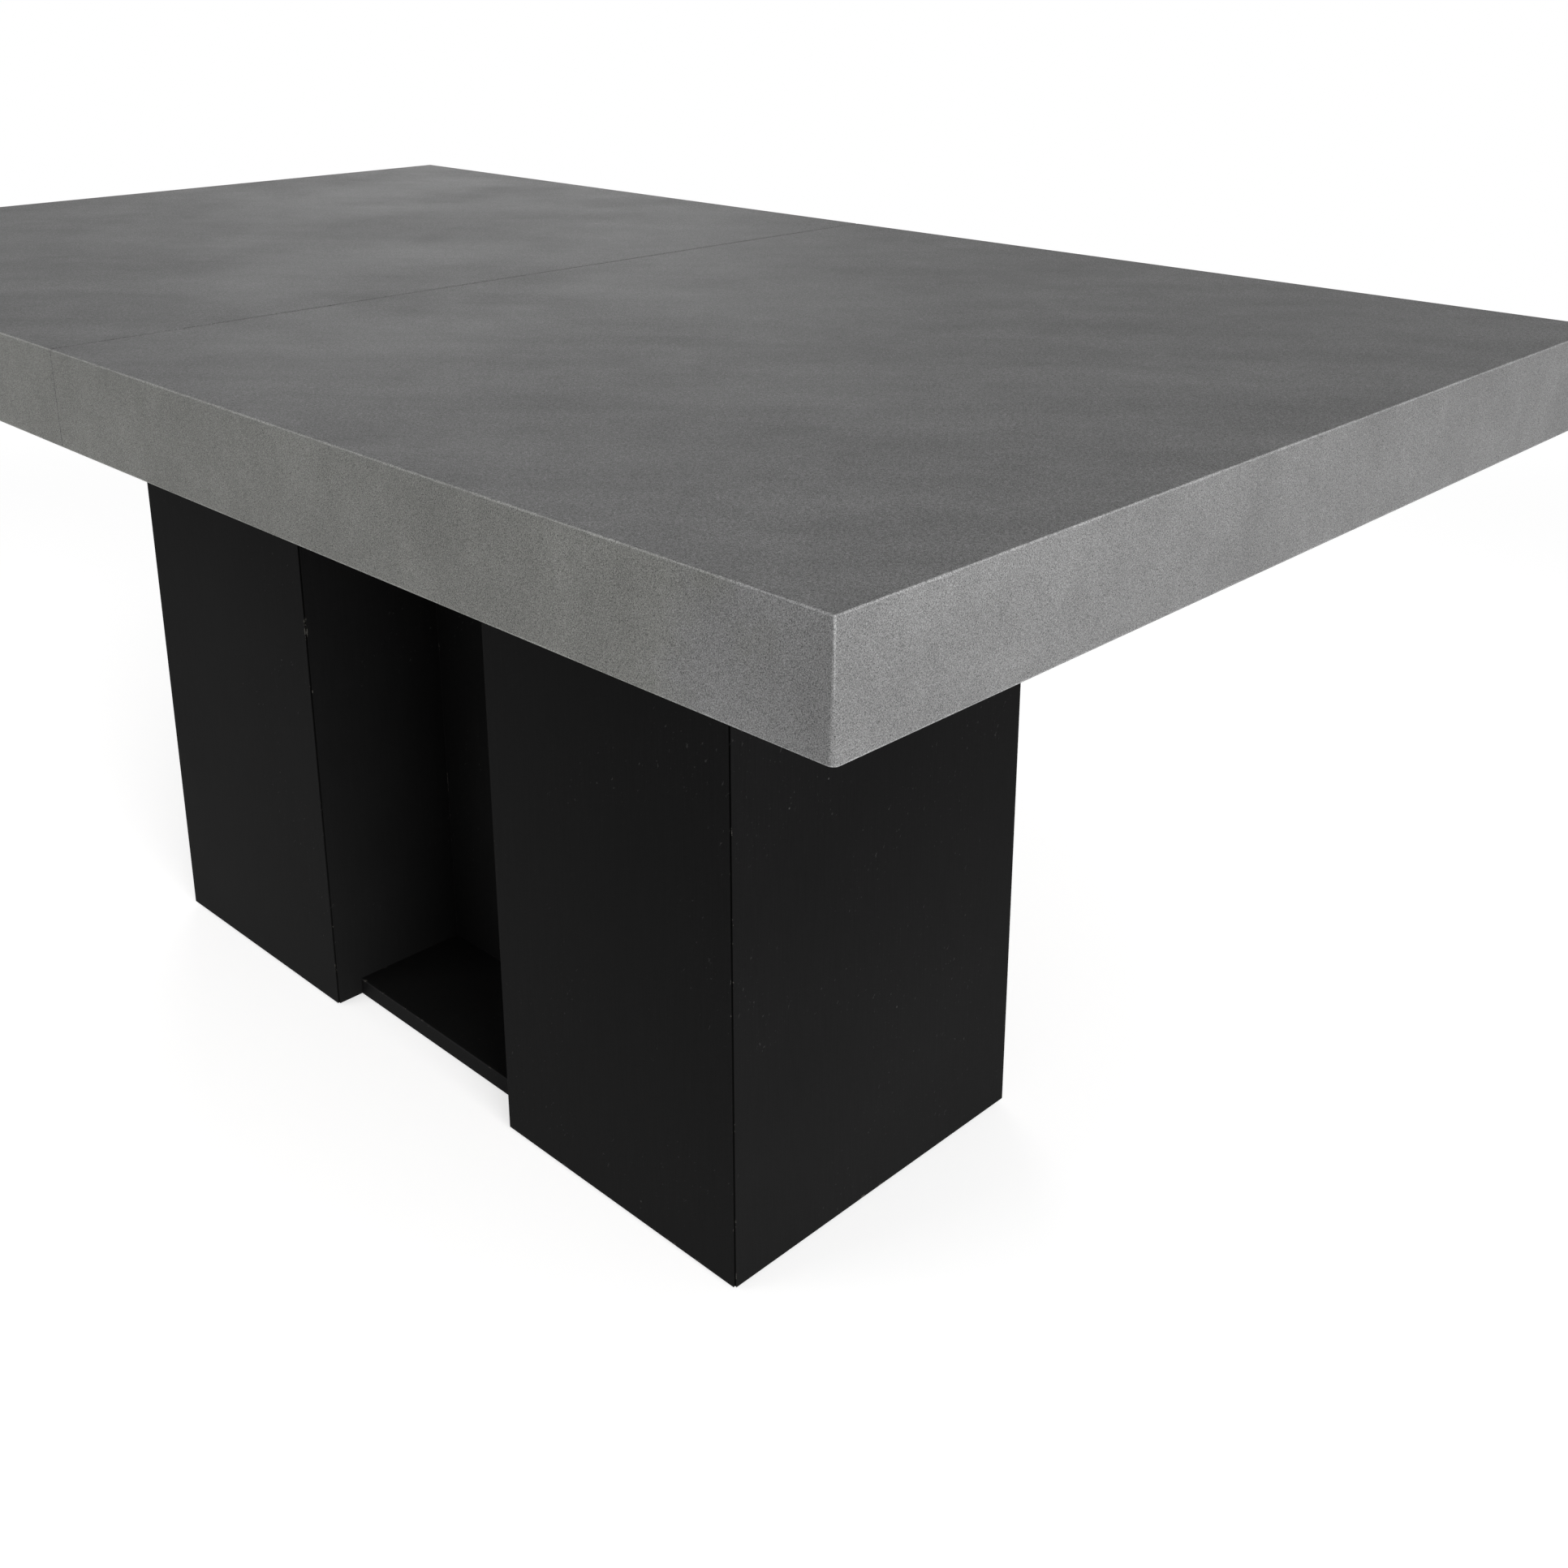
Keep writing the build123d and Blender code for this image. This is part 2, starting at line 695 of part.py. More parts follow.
def rail_pieces():
    """The rails and the rack-and-pinion work on top of the base."""
    right_bushes = [rail_bush(y) for y in (-rail_offset, rail_offset)]
    right_bars = [cross_bar(x) for x in cross_bar_places]
    right_bolts = [cross_bolt(x, y) for x, y in cross_bolt_places()]
    posts = [guide_post()]
    guide = rack_guide()
    return {
        "front_rail": [drilled_for_bridge(rail(-rail_offset))],
        "back_rail": [drilled_for_bridge(rail(rail_offset))],
        "rail_bushes": right_bushes + mirrored(right_bushes),
        "right_cross_bars": right_bars,
        "left_cross_bars": mirrored(right_bars),
        "cross_bar_bolts": right_bolts + mirrored(right_bolts),
        "pinion_bridge": [pinion_bridge()],
        "bridge_bolts": [bridge_bolt(x, y) for x, y in bridge_bolt_places()],
        "pinion": [pinion()],
        "pinion_pin": [pinion_pin()],
        "pinion_clip": [pinion_clip()],
        "rack_guides": [guide, Rot(0, 0, 180) * guide],
        "carriage_guide_posts": posts + mirrored(posts),
    }


def base_pieces():
    """The two columns, the recessed web between them and what stands on the floor."""
    front_web, back_web = web_boards()
    pieces = {}
    for side, board in column_boards().items():
        pieces[f"right_column_{side}_board"] = [board]
    pieces["right_column_corner_posts"] = corner_posts()
    pieces["right_column_caps"] = column_caps()
    left = {name.replace("right", "left", 1): mirrored(solids) for name, solids in pieces.items()}
    pieces.update(left)
    pieces["front_web_board"] = [front_web]
    pieces["back_web_board"] = [back_web]
    pieces["web_battens"] = web_battens()
    pieces["floor_board"] = [floor_board()]
    pieces["floor_glides"] = floor_glides()
    return pieces


def main():
    """Write every piece to its own file."""
    os.makedirs("parts", exist_ok=True)
    pieces = {**top_pieces(), **leaf_pieces(), **rail_pieces(), **base_pieces()}
    for name, solids in pieces.items():
        export_step(Compound(children=solids), f"parts/{name}.step")


main()
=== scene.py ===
"""Looks of an extendable dining table: a thick cast top in two sliding halves on a black base.

Every length is in metres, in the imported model's own frame: origin on the floor under the table's
middle, X along the table, Y across it, +Z up. The cast pieces and the base boards are modelled
here. The running gear keeps its solids and gets its finishes here.
"""
import json
import logging
import math
from dataclasses import dataclass
from enum import Enum
from functools import cache, reduce
from typing import Callable, Mapping, Union

import bpy
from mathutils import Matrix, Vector


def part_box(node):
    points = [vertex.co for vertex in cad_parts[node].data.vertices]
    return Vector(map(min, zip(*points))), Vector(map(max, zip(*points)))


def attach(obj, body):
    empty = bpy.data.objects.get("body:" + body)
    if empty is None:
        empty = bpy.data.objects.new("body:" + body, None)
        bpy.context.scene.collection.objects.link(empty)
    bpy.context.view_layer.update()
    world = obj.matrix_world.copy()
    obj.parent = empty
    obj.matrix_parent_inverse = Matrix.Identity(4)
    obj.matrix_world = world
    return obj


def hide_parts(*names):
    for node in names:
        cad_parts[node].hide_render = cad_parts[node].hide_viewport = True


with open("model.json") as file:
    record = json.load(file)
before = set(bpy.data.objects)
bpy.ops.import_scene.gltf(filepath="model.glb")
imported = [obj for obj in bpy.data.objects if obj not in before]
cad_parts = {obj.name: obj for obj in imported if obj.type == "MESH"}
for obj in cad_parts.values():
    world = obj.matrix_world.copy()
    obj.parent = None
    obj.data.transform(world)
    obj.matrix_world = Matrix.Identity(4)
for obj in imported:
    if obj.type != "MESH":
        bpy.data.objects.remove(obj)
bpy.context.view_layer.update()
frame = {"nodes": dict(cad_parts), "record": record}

MM = 0.001
TOUCH = 0.02 * MM
SHARP_ANGLE = math.radians(15.0)
SMOOTH_ANGLE = math.radians(35.0)
FLAT_ANGLE = math.radians(1.0)
MITRE_ANGLE = math.radians(45.0)
FACING_LIMIT = 0.5
NOISE_MIDDLE = 0.5
NOISE_SKEW = (0.61, 0.37, 0.93)
UPWARD = (0.3, 0.9)
ARRIS_WEAR_AND_HIGHLIGHT_CORE = 0.3
WHITE = (1.0, 1.0, 1.0, 1.0)

LOG = logging.getLogger("table")

Tree = bpy.types.NodeTree
Socket = bpy.types.NodeSocket
Sockets = Mapping[str, Socket]
Material = bpy.types.Material
Piece = bpy.types.Object
Value = Union[float, tuple, Socket]
Test = Callable[[Vector, Vector], bool]
# A ramp says where a change starts and ends, and then the results there if they aren't 0 and 1.
Ramp = tuple


class SocketKind(Enum):
    """Kinds of socket that an effect takes in or gives out."""

    VALUE = "NodeSocketFloat"
    VECTOR = "NodeSocketVector"


class Axis(Enum):
    """The table's axes, in the order of a vector's parts."""

    X = 0
    Y = 1
    Z = 2

    def drawn_out(self, fineness: float, share: float) -> tuple:
        """A fineness for each axis, with only a share of it along this one."""
        return tuple(fineness * share if axis is self else fineness for axis in Axis)


class Side(Enum):
    """Which half of the table a piece belongs to."""

    RIGHT = "right"
    LEFT = "left"

    @property
    def sign(self) -> int:
        """The sign of X on this side."""
        return 1 if self is Side.RIGHT else -1


class Element(Enum):
    """What a mesh is made of, named as its select mode is."""

    FACE = "polygons"
    EDGE = "edges"
    VERT = "vertices"


@dataclass(frozen=True)
class Span:
    """The box that a finish measures arrises from, on the table's right side."""

    low: tuple
    high: tuple


@dataclass(frozen=True)
class Specks:
    """How round specks are scattered: how far apart, how large, and on what share of places."""

    spacing: float
    radius: float
    share: float


class Sheet:
    """A shader node tree being drawn, with short ways to add and join nodes."""

    def __init__(self, tree: Tree) -> None:
        """Keep the tree that is drawn on."""
        self.tree = tree

    def put(self, socket: Socket, value: Value) -> None:
        """Join a socket to another one, or set its own value.

        Args:
            socket: The socket to fill.
            value: Another node's output, or a plain value.
        """
        if isinstance(value, Socket):
            self.tree.links.new(value, socket)
        else:
            socket.default_value = value

    def add(
        self, kind: str, inputs: Mapping[object, Value] | None = None, **settings: object
    ) -> bpy.types.Node:
        """Add a node.

        Args:
            kind: The node's type name.
            inputs: Values or outputs for its sockets, by name or number.
            **settings: Values for the node's own properties.

        Returns:
            The new node.
        """
        node = self.tree.nodes.new(kind)
        for key, value in settings.items():
            setattr(node, key, value)
        for key, value in (inputs or {}).items():
            self.put(node.inputs[key], value)
        return node

    def math(self, operation: str, first: Value, second: Value = 0.0) -> Socket:
        """Work out a number from one or two others."""
        return self.add("ShaderNodeMath", {0: first, 1: second}, operation=operation).outputs[0]

    def product(self, first: Value, *others: Value) -> Value:
        """Multiply numbers together."""
        return reduce(lambda result, factor: self.math("MULTIPLY", result, factor), others, first)

    def swing(self, noise: Value, strength: Value) -> Socket:
        """Turn a noise into a tone about 1."""
        offset = self.product(self.math("SUBTRACT", noise, NOISE_MIDDLE), strength)
        return self.math("ADD", offset, 1.0)

    def ramp(
        self, value: Value, start: Value, end: Value, low: Value = 0.0, high: Value = 1.0
    ) -> Socket:
        """Lead a number smoothly from low to high between a start and an end."""
        inputs = {0: value, 1: start, 2: end, 3: low, 4: high}
        return self.add("ShaderNodeMapRange", inputs, interpolation_type="SMOOTHSTEP").outputs[0]

    def within(self, mask: Value, tone: float) -> Socket:
        """A given tone within a mask, and 1 outside it."""
        return self.ramp(mask, 0.0, 1.0, 1.0, tone)

    def vector(self, operation: str, first: Value, second: Value) -> Socket:
        """Work out a vector from two others."""
        inputs = {0: first, 1: second}
        return self.add("ShaderNodeVectorMath", inputs, operation=operation).outputs[0]

    def part(self, vector: Value, axis: Axis) -> Socket:
        """A vector's part along one axis."""
        return self.add("ShaderNodeSeparateXYZ", {0: vector}).outputs[axis.value]

    def turned(self, vector: Value, angles: tuple) -> Socket:
        """Turn a vector about the three axes."""
        return self.add("ShaderNodeMapping", {"Vector": vector, "Rotation": angles}).outputs[0]

    def scaled(self, colour: Value, factor: Value) -> Socket:
        """Multiply a colour by a number."""
        inputs = {0: colour[:3] if isinstance(colour, tuple) else colour, "Scale": factor}
        return self.add("ShaderNodeVectorMath", inputs, operation="SCALE").outputs[0]

    def blend(self, factor: Value, first: Value, second: Value) -> Socket:
        """Mix two colours by a factor."""
        inputs = {0: factor, 6: first, 7: second}
        return self.add("ShaderNodeMix", inputs, data_type="RGBA").outputs[2]

    def noise(
        self, vector: Value, scale: Value, detail: float = 2.0, roughness: float = 0.5
    ) -> Socket:
        """Soft noise, 0.5 on average, with features of about one over the scale."""
        inputs = {"Vector": vector, "Scale": scale, "Detail": detail, "Roughness": roughness}
        return self.add("ShaderNodeTexNoise", inputs).outputs["Fac"]

    def place(self) -> Socket:
        """The surface point in the piece's own frame."""
        return self.add("ShaderNodeTexCoord").outputs["Object"]

    def facing(self, axis: Axis) -> Socket:
        """How squarely the surface faces along an axis, either way: 1 at most, 0 at least."""
        normal = self.add("ShaderNodeNewGeometry").outputs["True Normal"]
        return self.math("ABSOLUTE", self.part(normal, axis))


class EffectSheet(Sheet):
    """The inside of a node group that several finishes share."""

    def __init__(self, name: str, vectors: tuple, values: tuple, results: tuple) -> None:
        """Make the group and its sockets.

        Args:
            name: The effect's name.
            vectors: The names of the vectors that it takes in.
            values: The names of the numbers that it takes in.
            results: The names of the numbers that it gives out.
        """
        super().__init__(bpy.data.node_groups.new(name, "ShaderNodeTree"))
        for names, way, kind in (
            (vectors, "INPUT", SocketKind.VECTOR),
            (values, "INPUT", SocketKind.VALUE),
            (results, "OUTPUT", SocketKind.VALUE),
        ):
            for each in names:
                self.tree.interface.new_socket(name=each, in_out=way, socket_type=kind.value)
        self.given = self.add("NodeGroupInput").outputs
        self.wanted = self.add("NodeGroupOutput").inputs

    def give(self, **results: Value) -> Tree:
        """Lead the results out of the group.

        Args:
            **results: What each of the group's outputs gives.

        Returns:
            The finished group.
        """
        for key, value in results.items():
            self.put(self.wanted[key], value)
        return self.tree


@cache
def grain_effect() -> Tree:
    """Draw fine sandy grain, turned so that no face lies along the noise's own grid.

    Returns:
        The group, which gives a tone about 1 and a height.
    """
    sheet = EffectSheet("Sandy grain", ("Vector",), ("Size", "Contrast"), ("Tone", "Height"))
    scale = sheet.math("DIVIDE", 1.0, sheet.given["Size"])
    turned = sheet.turned(sheet.given["Vector"], NOISE_SKEW)
    sand = sheet.noise(turned, scale, detail=1.0, roughness=0.6)
    return sheet.give(Tone=sheet.swing(sand, sheet.given["Contrast"]), Height=sand)


@cache
def cloud_effect() -> Tree:
    """Draw soft uneven clouds.

    Returns:
        The group, which gives a tone about 1.
    """
    sheet = EffectSheet("Soft clouds", ("Vector",), ("Size", "Strength"), ("Tone",))
    scale = sheet.math("DIVIDE", 1.0, sheet.given["Size"])
    cloud = sheet.noise(sheet.given["Vector"], scale, detail=4.0, roughness=0.55)
    return sheet.give(Tone=sheet.swing(cloud, sheet.given["Strength"]))


@cache
def speck_effect() -> Tree:
    """Draw scattered round specks, such as pinholes and dust, each of its own size.

    Returns:
        The group, which gives a mask.
    """
    smallest, soft_edge = 0.4, 0.5
    sheet = EffectSheet("Scattered specks", ("Vector",), ("Spacing", "Radius", "Share"), ("Mask",))
    scale = sheet.math("DIVIDE", 1.0, sheet.given["Spacing"])
    inputs = {"Vector": sheet.given["Vector"], "Scale": scale}
    cells = sheet.add("ShaderNodeTexVoronoi", inputs).outputs
    draw = sheet.add("ShaderNodeSeparateColor", {0: cells["Color"]}).outputs
    reach = sheet.math("DIVIDE", sheet.given["Radius"], sheet.given["Spacing"])
    reach = sheet.product(reach, sheet.math("ADD", draw["Green"], smallest))
    spot = sheet.ramp(cells["Distance"], reach, sheet.product(reach, soft_edge))
    kept = sheet.math("LESS_THAN", draw["Red"], sheet.given["Share"])
    return sheet.give(Mask=sheet.product(spot, kept))


@cache
def streak_effect() -> Tree:
    """Draw noise out along one way, for fibres, brush marks and wiping.

    Returns:
        The group, which gives a tone about 1 and a height.
    """
    sheet = EffectSheet("Drawn streaks", ("Vector", "Fineness"), ("Strength",), ("Tone", "Height"))
    drawn = sheet.vector("MULTIPLY", sheet.given["Vector"], sheet.given["Fineness"])
    streak = sheet.noise(drawn, 1.0, detail=3.0, roughness=0.6)
    return sheet.give(Tone=sheet.swing(streak, sheet.given["Strength"]), Height=streak)


@cache
def arris_effect() -> Tree:
    """Measure from a surface point to the nearest arris of a box, alike on both sides of the table.

    Returns:
        The group, which gives the distance.
    """
    sheet = EffectSheet("Arris distance", ("Vector", "Low", "High"), (), ("Distance",))
    apart = sheet.add("ShaderNodeSeparateXYZ", {0: sheet.given["Vector"]}).outputs
    mirrored = {key: sheet.math("ABSOLUTE", apart[key]) for key in ("X", "Y")}
    point = sheet.add("ShaderNodeCombineXYZ", {**mirrored, "Z": apart["Z"]}).outputs[0]
    above = sheet.vector("SUBTRACT", point, sheet.given["Low"])
    below = sheet.vector("SUBTRACT", sheet.given["High"], point)
    depth = sheet.add("ShaderNodeSeparateXYZ", {0: sheet.vector("MINIMUM", above, below)}).outputs
    nearer = sheet.math("MINIMUM", depth["X"], depth["Y"])
    further = sheet.math("MAXIMUM", depth["X"], depth["Y"])
    second = sheet.math("MINIMUM", further, depth["Z"])
    return sheet.give(Distance=sheet.math("MAXIMUM", nearer, second))


class Surface(Sheet):
    """A material's own sheet, with its shader and the effects that finishes share."""

    def __init__(self, name: str) -> None:
        """Start a material.

        Args:
            name: The material's name.
        """
        self.made = bpy.data.materials.new(name)
        self.made.use_nodes = True
        super().__init__(self.made.node_tree)
        self.shader = self.tree.nodes["Principled BSDF"].inputs

    def effect(self, group: Tree, **inputs: Value) -> Sockets:
        """Place an effect's node group and fill its sockets."""
        return self.add("ShaderNodeGroup", inputs, node_tree=group).outputs

    def grain(self, place: Value, size: float, contrast: Value) -> Sockets:
        """Sandy grain: its tone and its height."""
        return self.effect(grain_effect(), Vector=place, Size=size, Contrast=contrast)

    def clouds(self, place: Value, size: float, strength: float) -> Socket:
        """The tone of soft clouds."""
        return self.effect(cloud_effect(), Vector=place, Size=size, Strength=strength)["Tone"]

    def specks(self, place: Value, specks: Specks) -> Socket:
        """The mask of scattered specks."""
        sizes = {"Spacing": specks.spacing, "Radius": specks.radius, "Share": specks.share}
        return self.effect(speck_effect(), Vector=place, **sizes)["Mask"]

    def streaks(self, place: Value, fineness: tuple, strength: Value = 1.0) -> Sockets:
        """Streaks: their tone and their height."""
        return self.effect(streak_effect(), Vector=place, Fineness=fineness, Strength=strength)

    def from_arris(self, place: Value, span: Span) -> Socket:
        """The distance from the nearest arris."""
        return self.effect(arris_effect(), Vector=place, Low=span.low, High=span.high)["Distance"]

    def lay(self, colour: Value, roughness: Value, height: Value, relief: tuple) -> None:
        """Lay a colour, a roughness and a fine relief on the shader.

        Args:
            colour: The surface's colour.
            roughness: The surface's roughness.
            height: The relief's height, from 0 to 1.
            relief: How deep the relief is, and how strongly it shows.
        """
        depth, strength = relief
        inputs = {"Height": height, "Distance": depth, "Strength": strength}
        bump = self.add("ShaderNodeBump", inputs)
        self.put(self.shader["Base Color"], colour)
        self.put(self.shader["Roughness"], roughness)
        self.put(self.shader["Normal"], bump.outputs[0])


class Finish:
    """A kind of material, drawn anew wherever its values differ."""

    def draw(self, sheet: Surface) -> None:
        """Draw the finish, each kind in its own way."""
        raise NotImplementedError

    def build(self, name: str) -> Material:
        """Make the material.

        Args:
            name: The material's name.

        Returns:
            The finished material.
        """
        sheet = Surface(name)
        self.draw(sheet)
        return sheet.made


@dataclass(frozen=True)
class CastConcrete(Finish):
    """Fine sanded concrete: sandy grain, soft clouds, pinholes, wiped top, and arrises made paler
    for wear and as a painted highlight.
    """

    span: Span
    colour: tuple = (0.190, 0.190, 0.190, 1.0)
    warm_colour: tuple = (0.191, 0.192, 0.182, 1.0)
    warm_reach: Ramp = (0.75, 0.66)
    grain_size: float = 0.6 * MM
    grain_contrast: float = 2.7
    darkest_grain: float = 0.3
    sand_size: float = 1.9 * MM
    sand_contrast: tuple = (0.1, 0.9)
    cloud_offset: tuple = (0.77, -0.29, 0.23)
    cloud_size: float = 220 * MM
    cloud_strength: float = 0.60
    patch_size: float = 40 * MM
    patch_strength: float = 0.34
    mottle_size: float = 13 * MM
    mottle_strength: float = 0.09
    wipe_fineness: tuple = (3.0, 15.0, 1.0)
    wipe_turn: tuple = (0.0, 0.0, math.radians(-40.0))
    wipe_strength: float = 0.55
    run_fineness: tuple = (24.0, 24.0, 5.0)
    run_strength: float = 0.26
    pits: Specks = Specks(1.6 * MM, 0.5 * MM, 0.45)
    pit_tone: float = 0.67
    holes: Specks = Specks(38 * MM, 0.8 * MM, 0.5)
    hole_tone: float = 0.45
    hole_depth: float = 3.0
    # The arrises are paler partly for wear and partly as a painted highlight where light catches
    # them.
    arris_width: float = 1.5 * MM
    arris_wear_and_highlight_tone: float = 1.6
    roughness: Ramp = (0.9, 1.1, 0.66, 0.78)
    gloss: float = 0.12
    relief: tuple = (0.12 * MM, 0.8)

    def draw(self, sheet: Surface) -> None:
        """Draw the finish.

        Args:
            sheet: The material's sheet.
        """
        place = sheet.place()
        up = sheet.facing(Axis.Z)
        grain = sheet.grain(place, self.grain_size, self.grain_contrast)
        sand = sheet.grain(place, self.sand_size, sheet.ramp(up, *UPWARD, *self.sand_contrast))
        drifted = sheet.vector("ADD", place, self.cloud_offset)
        clouds = sheet.clouds(drifted, self.cloud_size, self.cloud_strength)
        patches = sheet.clouds(drifted, self.patch_size, self.patch_strength)
        mottle = sheet.clouds(drifted, self.mottle_size, self.mottle_strength)
        wiping = sheet.ramp(up, *UPWARD, 0.0, self.wipe_strength)
        wipes = sheet.streaks(sheet.turned(place, self.wipe_turn), self.wipe_fineness, wiping)
        running = sheet.ramp(up, *UPWARD, self.run_strength, 0.0)
        runs = sheet.streaks(place, self.run_fineness, running)
        pits = sheet.specks(place, self.pits)
        holes = sheet.specks(place, self.holes)
        # A ragged band along the arrises, paler for wear and as a painted highlight.
        ragged = sheet.noise(place, 1.0 / self.patch_size, detail=5.0, roughness=0.7)
        reach = sheet.product(ragged, self.arris_width / NOISE_MIDDLE)
        distance = sheet.from_arris(place, self.span)
        worn_and_highlit = sheet.ramp(distance, reach, sheet.product(reach, ARRIS_WEAR_AND_HIGHLIGHT_CORE))
        tone = sheet.product(
            sheet.math("MAXIMUM", grain["Tone"], self.darkest_grain),
            sand["Tone"], clouds, patches, mottle, wipes["Tone"], runs["Tone"],
            sheet.within(pits, self.pit_tone),
            sheet.within(holes, self.hole_tone),
            sheet.within(worn_and_highlit, self.arris_wear_and_highlight_tone),
        )
        uneven = sheet.product(patches, sheet.math("ABSOLUTE", sheet.part(place, Axis.X)))
        warmth = sheet.product(sheet.ramp(uneven, *self.warm_reach), sheet.facing(Axis.Y))
        colour = sheet.scaled(sheet.blend(warmth, self.colour, self.warm_colour), tone)
        hollow = sheet.math("MAXIMUM", pits, sheet.product(holes, self.hole_depth))
        height = sheet.math("SUBTRACT", grain["Height"], hollow)
        sheet.lay(colour, sheet.ramp(clouds, *self.roughness), height, self.relief)
        sheet.put(sheet.shader["Specular IOR Level"], self.gloss)


@dataclass(frozen=True)
class BlackPaint(Finish):
    """Satin black paint on boards: roller texture, dust, hairline scratches, arrises paler from
    rubbing and as a painted highlight, and painted light that pales the boards towards the foot.
    """

    span: Span
    colour: tuple = (0.0067, 0.0067, 0.0068, 1.0)
    dust_colour: tuple = (0.05, 0.05, 0.049, 1.0)
    chip_colour: tuple = (0.12, 0.115, 0.105, 1.0)
    cloud_size: float = 260 * MM
    cloud_strength: float = 0.7
    roller_size: float = 1.4 * MM
    roller_contrast: float = 0.35
    dust: Specks = Specks(22 * MM, 0.9 * MM, 0.35)
    dust_patch: float = 130 * MM
    dust_edge: Ramp = (0.5, 0.6)
    scratch_fineness: tuple = (420.0, 420.0, 30.0)
    scratch_turn: tuple = (math.radians(24.0), math.radians(-31.0), 0.0)
    scratch_edge: Ramp = (0.66, 0.72)
    scratch_strength: float = 0.5
    fibre_fineness: tuple = (650.0, 650.0, 22.0)
    fibre_strength: float = 0.5
    # Painted light: the boards turn paler in patches towards the foot, standing in for the shade
    # that the top casts on their upper part.
    painted_light_by_height: Ramp = (0.6, 0.0, 0.0, 0.08)
    # The arrises are paler partly from rubbing and partly as a painted highlight where light catches
    # them.
    arris_width: float = 1.5 * MM
    arris_wear_and_highlight_tone: float = 2.6
    chip_fineness: float = 60.0
    chip_edge: Ramp = (0.55, 0.66)
    chip_reach: float = 2.2 * MM
    chip_strength: float = 0.5
    roughness: Ramp = (0.8, 1.2, 0.46, 0.60)
    gloss: float = 0.012
    relief: tuple = (0.03 * MM, 0.6)

    def draw(self, sheet: Surface) -> None:
        """Draw the finish.

        Args:
            sheet: The material's sheet.
        """
        place = sheet.place()
        clouds = sheet.clouds(place, self.cloud_size, self.cloud_strength)
        roller = sheet.grain(place, self.roller_size, self.roller_contrast)
        fibres = sheet.streaks(place, self.fibre_fineness, self.fibre_strength)
        handled = sheet.ramp(sheet.noise(place, 1.0 / self.dust_patch, detail=1.0), *self.dust_edge)
        dust = sheet.product(sheet.specks(place, self.dust), handled)
        hairs = sheet.streaks(sheet.turned(place, self.scratch_turn), self.scratch_fineness)
        hairlines = sheet.ramp(hairs["Height"], *self.scratch_edge)
        scratches = sheet.product(hairlines, handled, self.scratch_strength)
        # Painted light: paler in patches towards the foot, for the top's shade on the upper boards.
        painted_foot_light = sheet.product(sheet.ramp(sheet.part(place, Axis.Z), *self.painted_light_by_height), clouds)
        # A band along the arrises, paler from rubbing and as a painted highlight.
        distance = sheet.from_arris(place, self.span)
        rubbed_and_highlit = sheet.ramp(distance, self.arris_width, ARRIS_WEAR_AND_HIGHLIGHT_CORE * self.arris_width)
        chipping = sheet.noise(place, self.chip_fineness, detail=5.0, roughness=0.75)
        chip_reach = sheet.product(sheet.ramp(chipping, *self.chip_edge), self.chip_reach)
        chips = sheet.product(sheet.math("LESS_THAN", distance, chip_reach), self.chip_strength)
        rubbed_and_highlight_tone = sheet.within(rubbed_and_highlit, self.arris_wear_and_highlight_tone)
        tone = sheet.product(clouds, roller["Tone"], fibres["Tone"], rubbed_and_highlight_tone)
        # The dust, the painted light at the foot and the scratches all pale the paint towards the
        # dust colour.
        marks = sheet.math("MAXIMUM", sheet.math("MAXIMUM", dust, painted_foot_light), scratches)
        colour = sheet.blend(marks, sheet.scaled(self.colour, tone), self.dust_colour)
        colour = sheet.blend(chips, colour, self.chip_colour)
        sheet.lay(colour, sheet.ramp(clouds, *self.roughness), roller["Height"], self.relief)
        sheet.put(sheet.shader["Specular IOR Level"], self.gloss)


@dataclass(frozen=True)
class Timber(Finish):
    """Planed timber: growth rings drawn out along the grain, fine pores and handling marks."""

    along: Axis
    colour: tuple = (0.47, 0.31, 0.17, 1.0)
    late_colour: tuple = (0.33, 0.19, 0.09, 1.0)
    late_edge: Ramp = (-0.2, 1.0, 0.0, 0.7)
    ring_width: float = 7 * MM
    ring_sway: float = 60 * MM
    ring_fineness: float = 18.0
    ring_stretch: float = 0.05
    pore_fineness: float = 1500.0
    pore_stretch: float = 0.02
    pore_strength: float = 0.35
    cloud_size: float = 150 * MM
    cloud_strength: float = 0.3
    roughness: Ramp = (0.3, 0.7, 0.62, 0.5)
    relief: tuple = (0.05 * MM, 0.7)

    def draw(self, sheet: Surface) -> None:
        """Draw the finish.

        Args:
            sheet: The material's sheet.
        """
        place = sheet.place()
        drawn = sheet.vector("MULTIPLY", place, self.along.drawn_out(1.0, self.ring_stretch))
        warp = sheet.noise(drawn, self.ring_fineness, detail=3.0)
        rings = sheet.math("SINE", sheet.product(warp, math.tau * self.ring_sway / self.ring_width))
        fineness = self.along.drawn_out(self.pore_fineness, self.pore_stretch)
        pores = sheet.streaks(place, fineness, self.pore_strength)
        clouds = sheet.clouds(place, self.cloud_size, self.cloud_strength)
        colour = sheet.blend(sheet.ramp(rings, *self.late_edge), self.colour, self.late_colour)
        colour = sheet.scaled(colour, sheet.product(pores["Tone"], clouds))
        roughness = sheet.ramp(pores["Height"], *self.roughness)
        sheet.lay(colour, roughness, pores["Height"], self.relief)


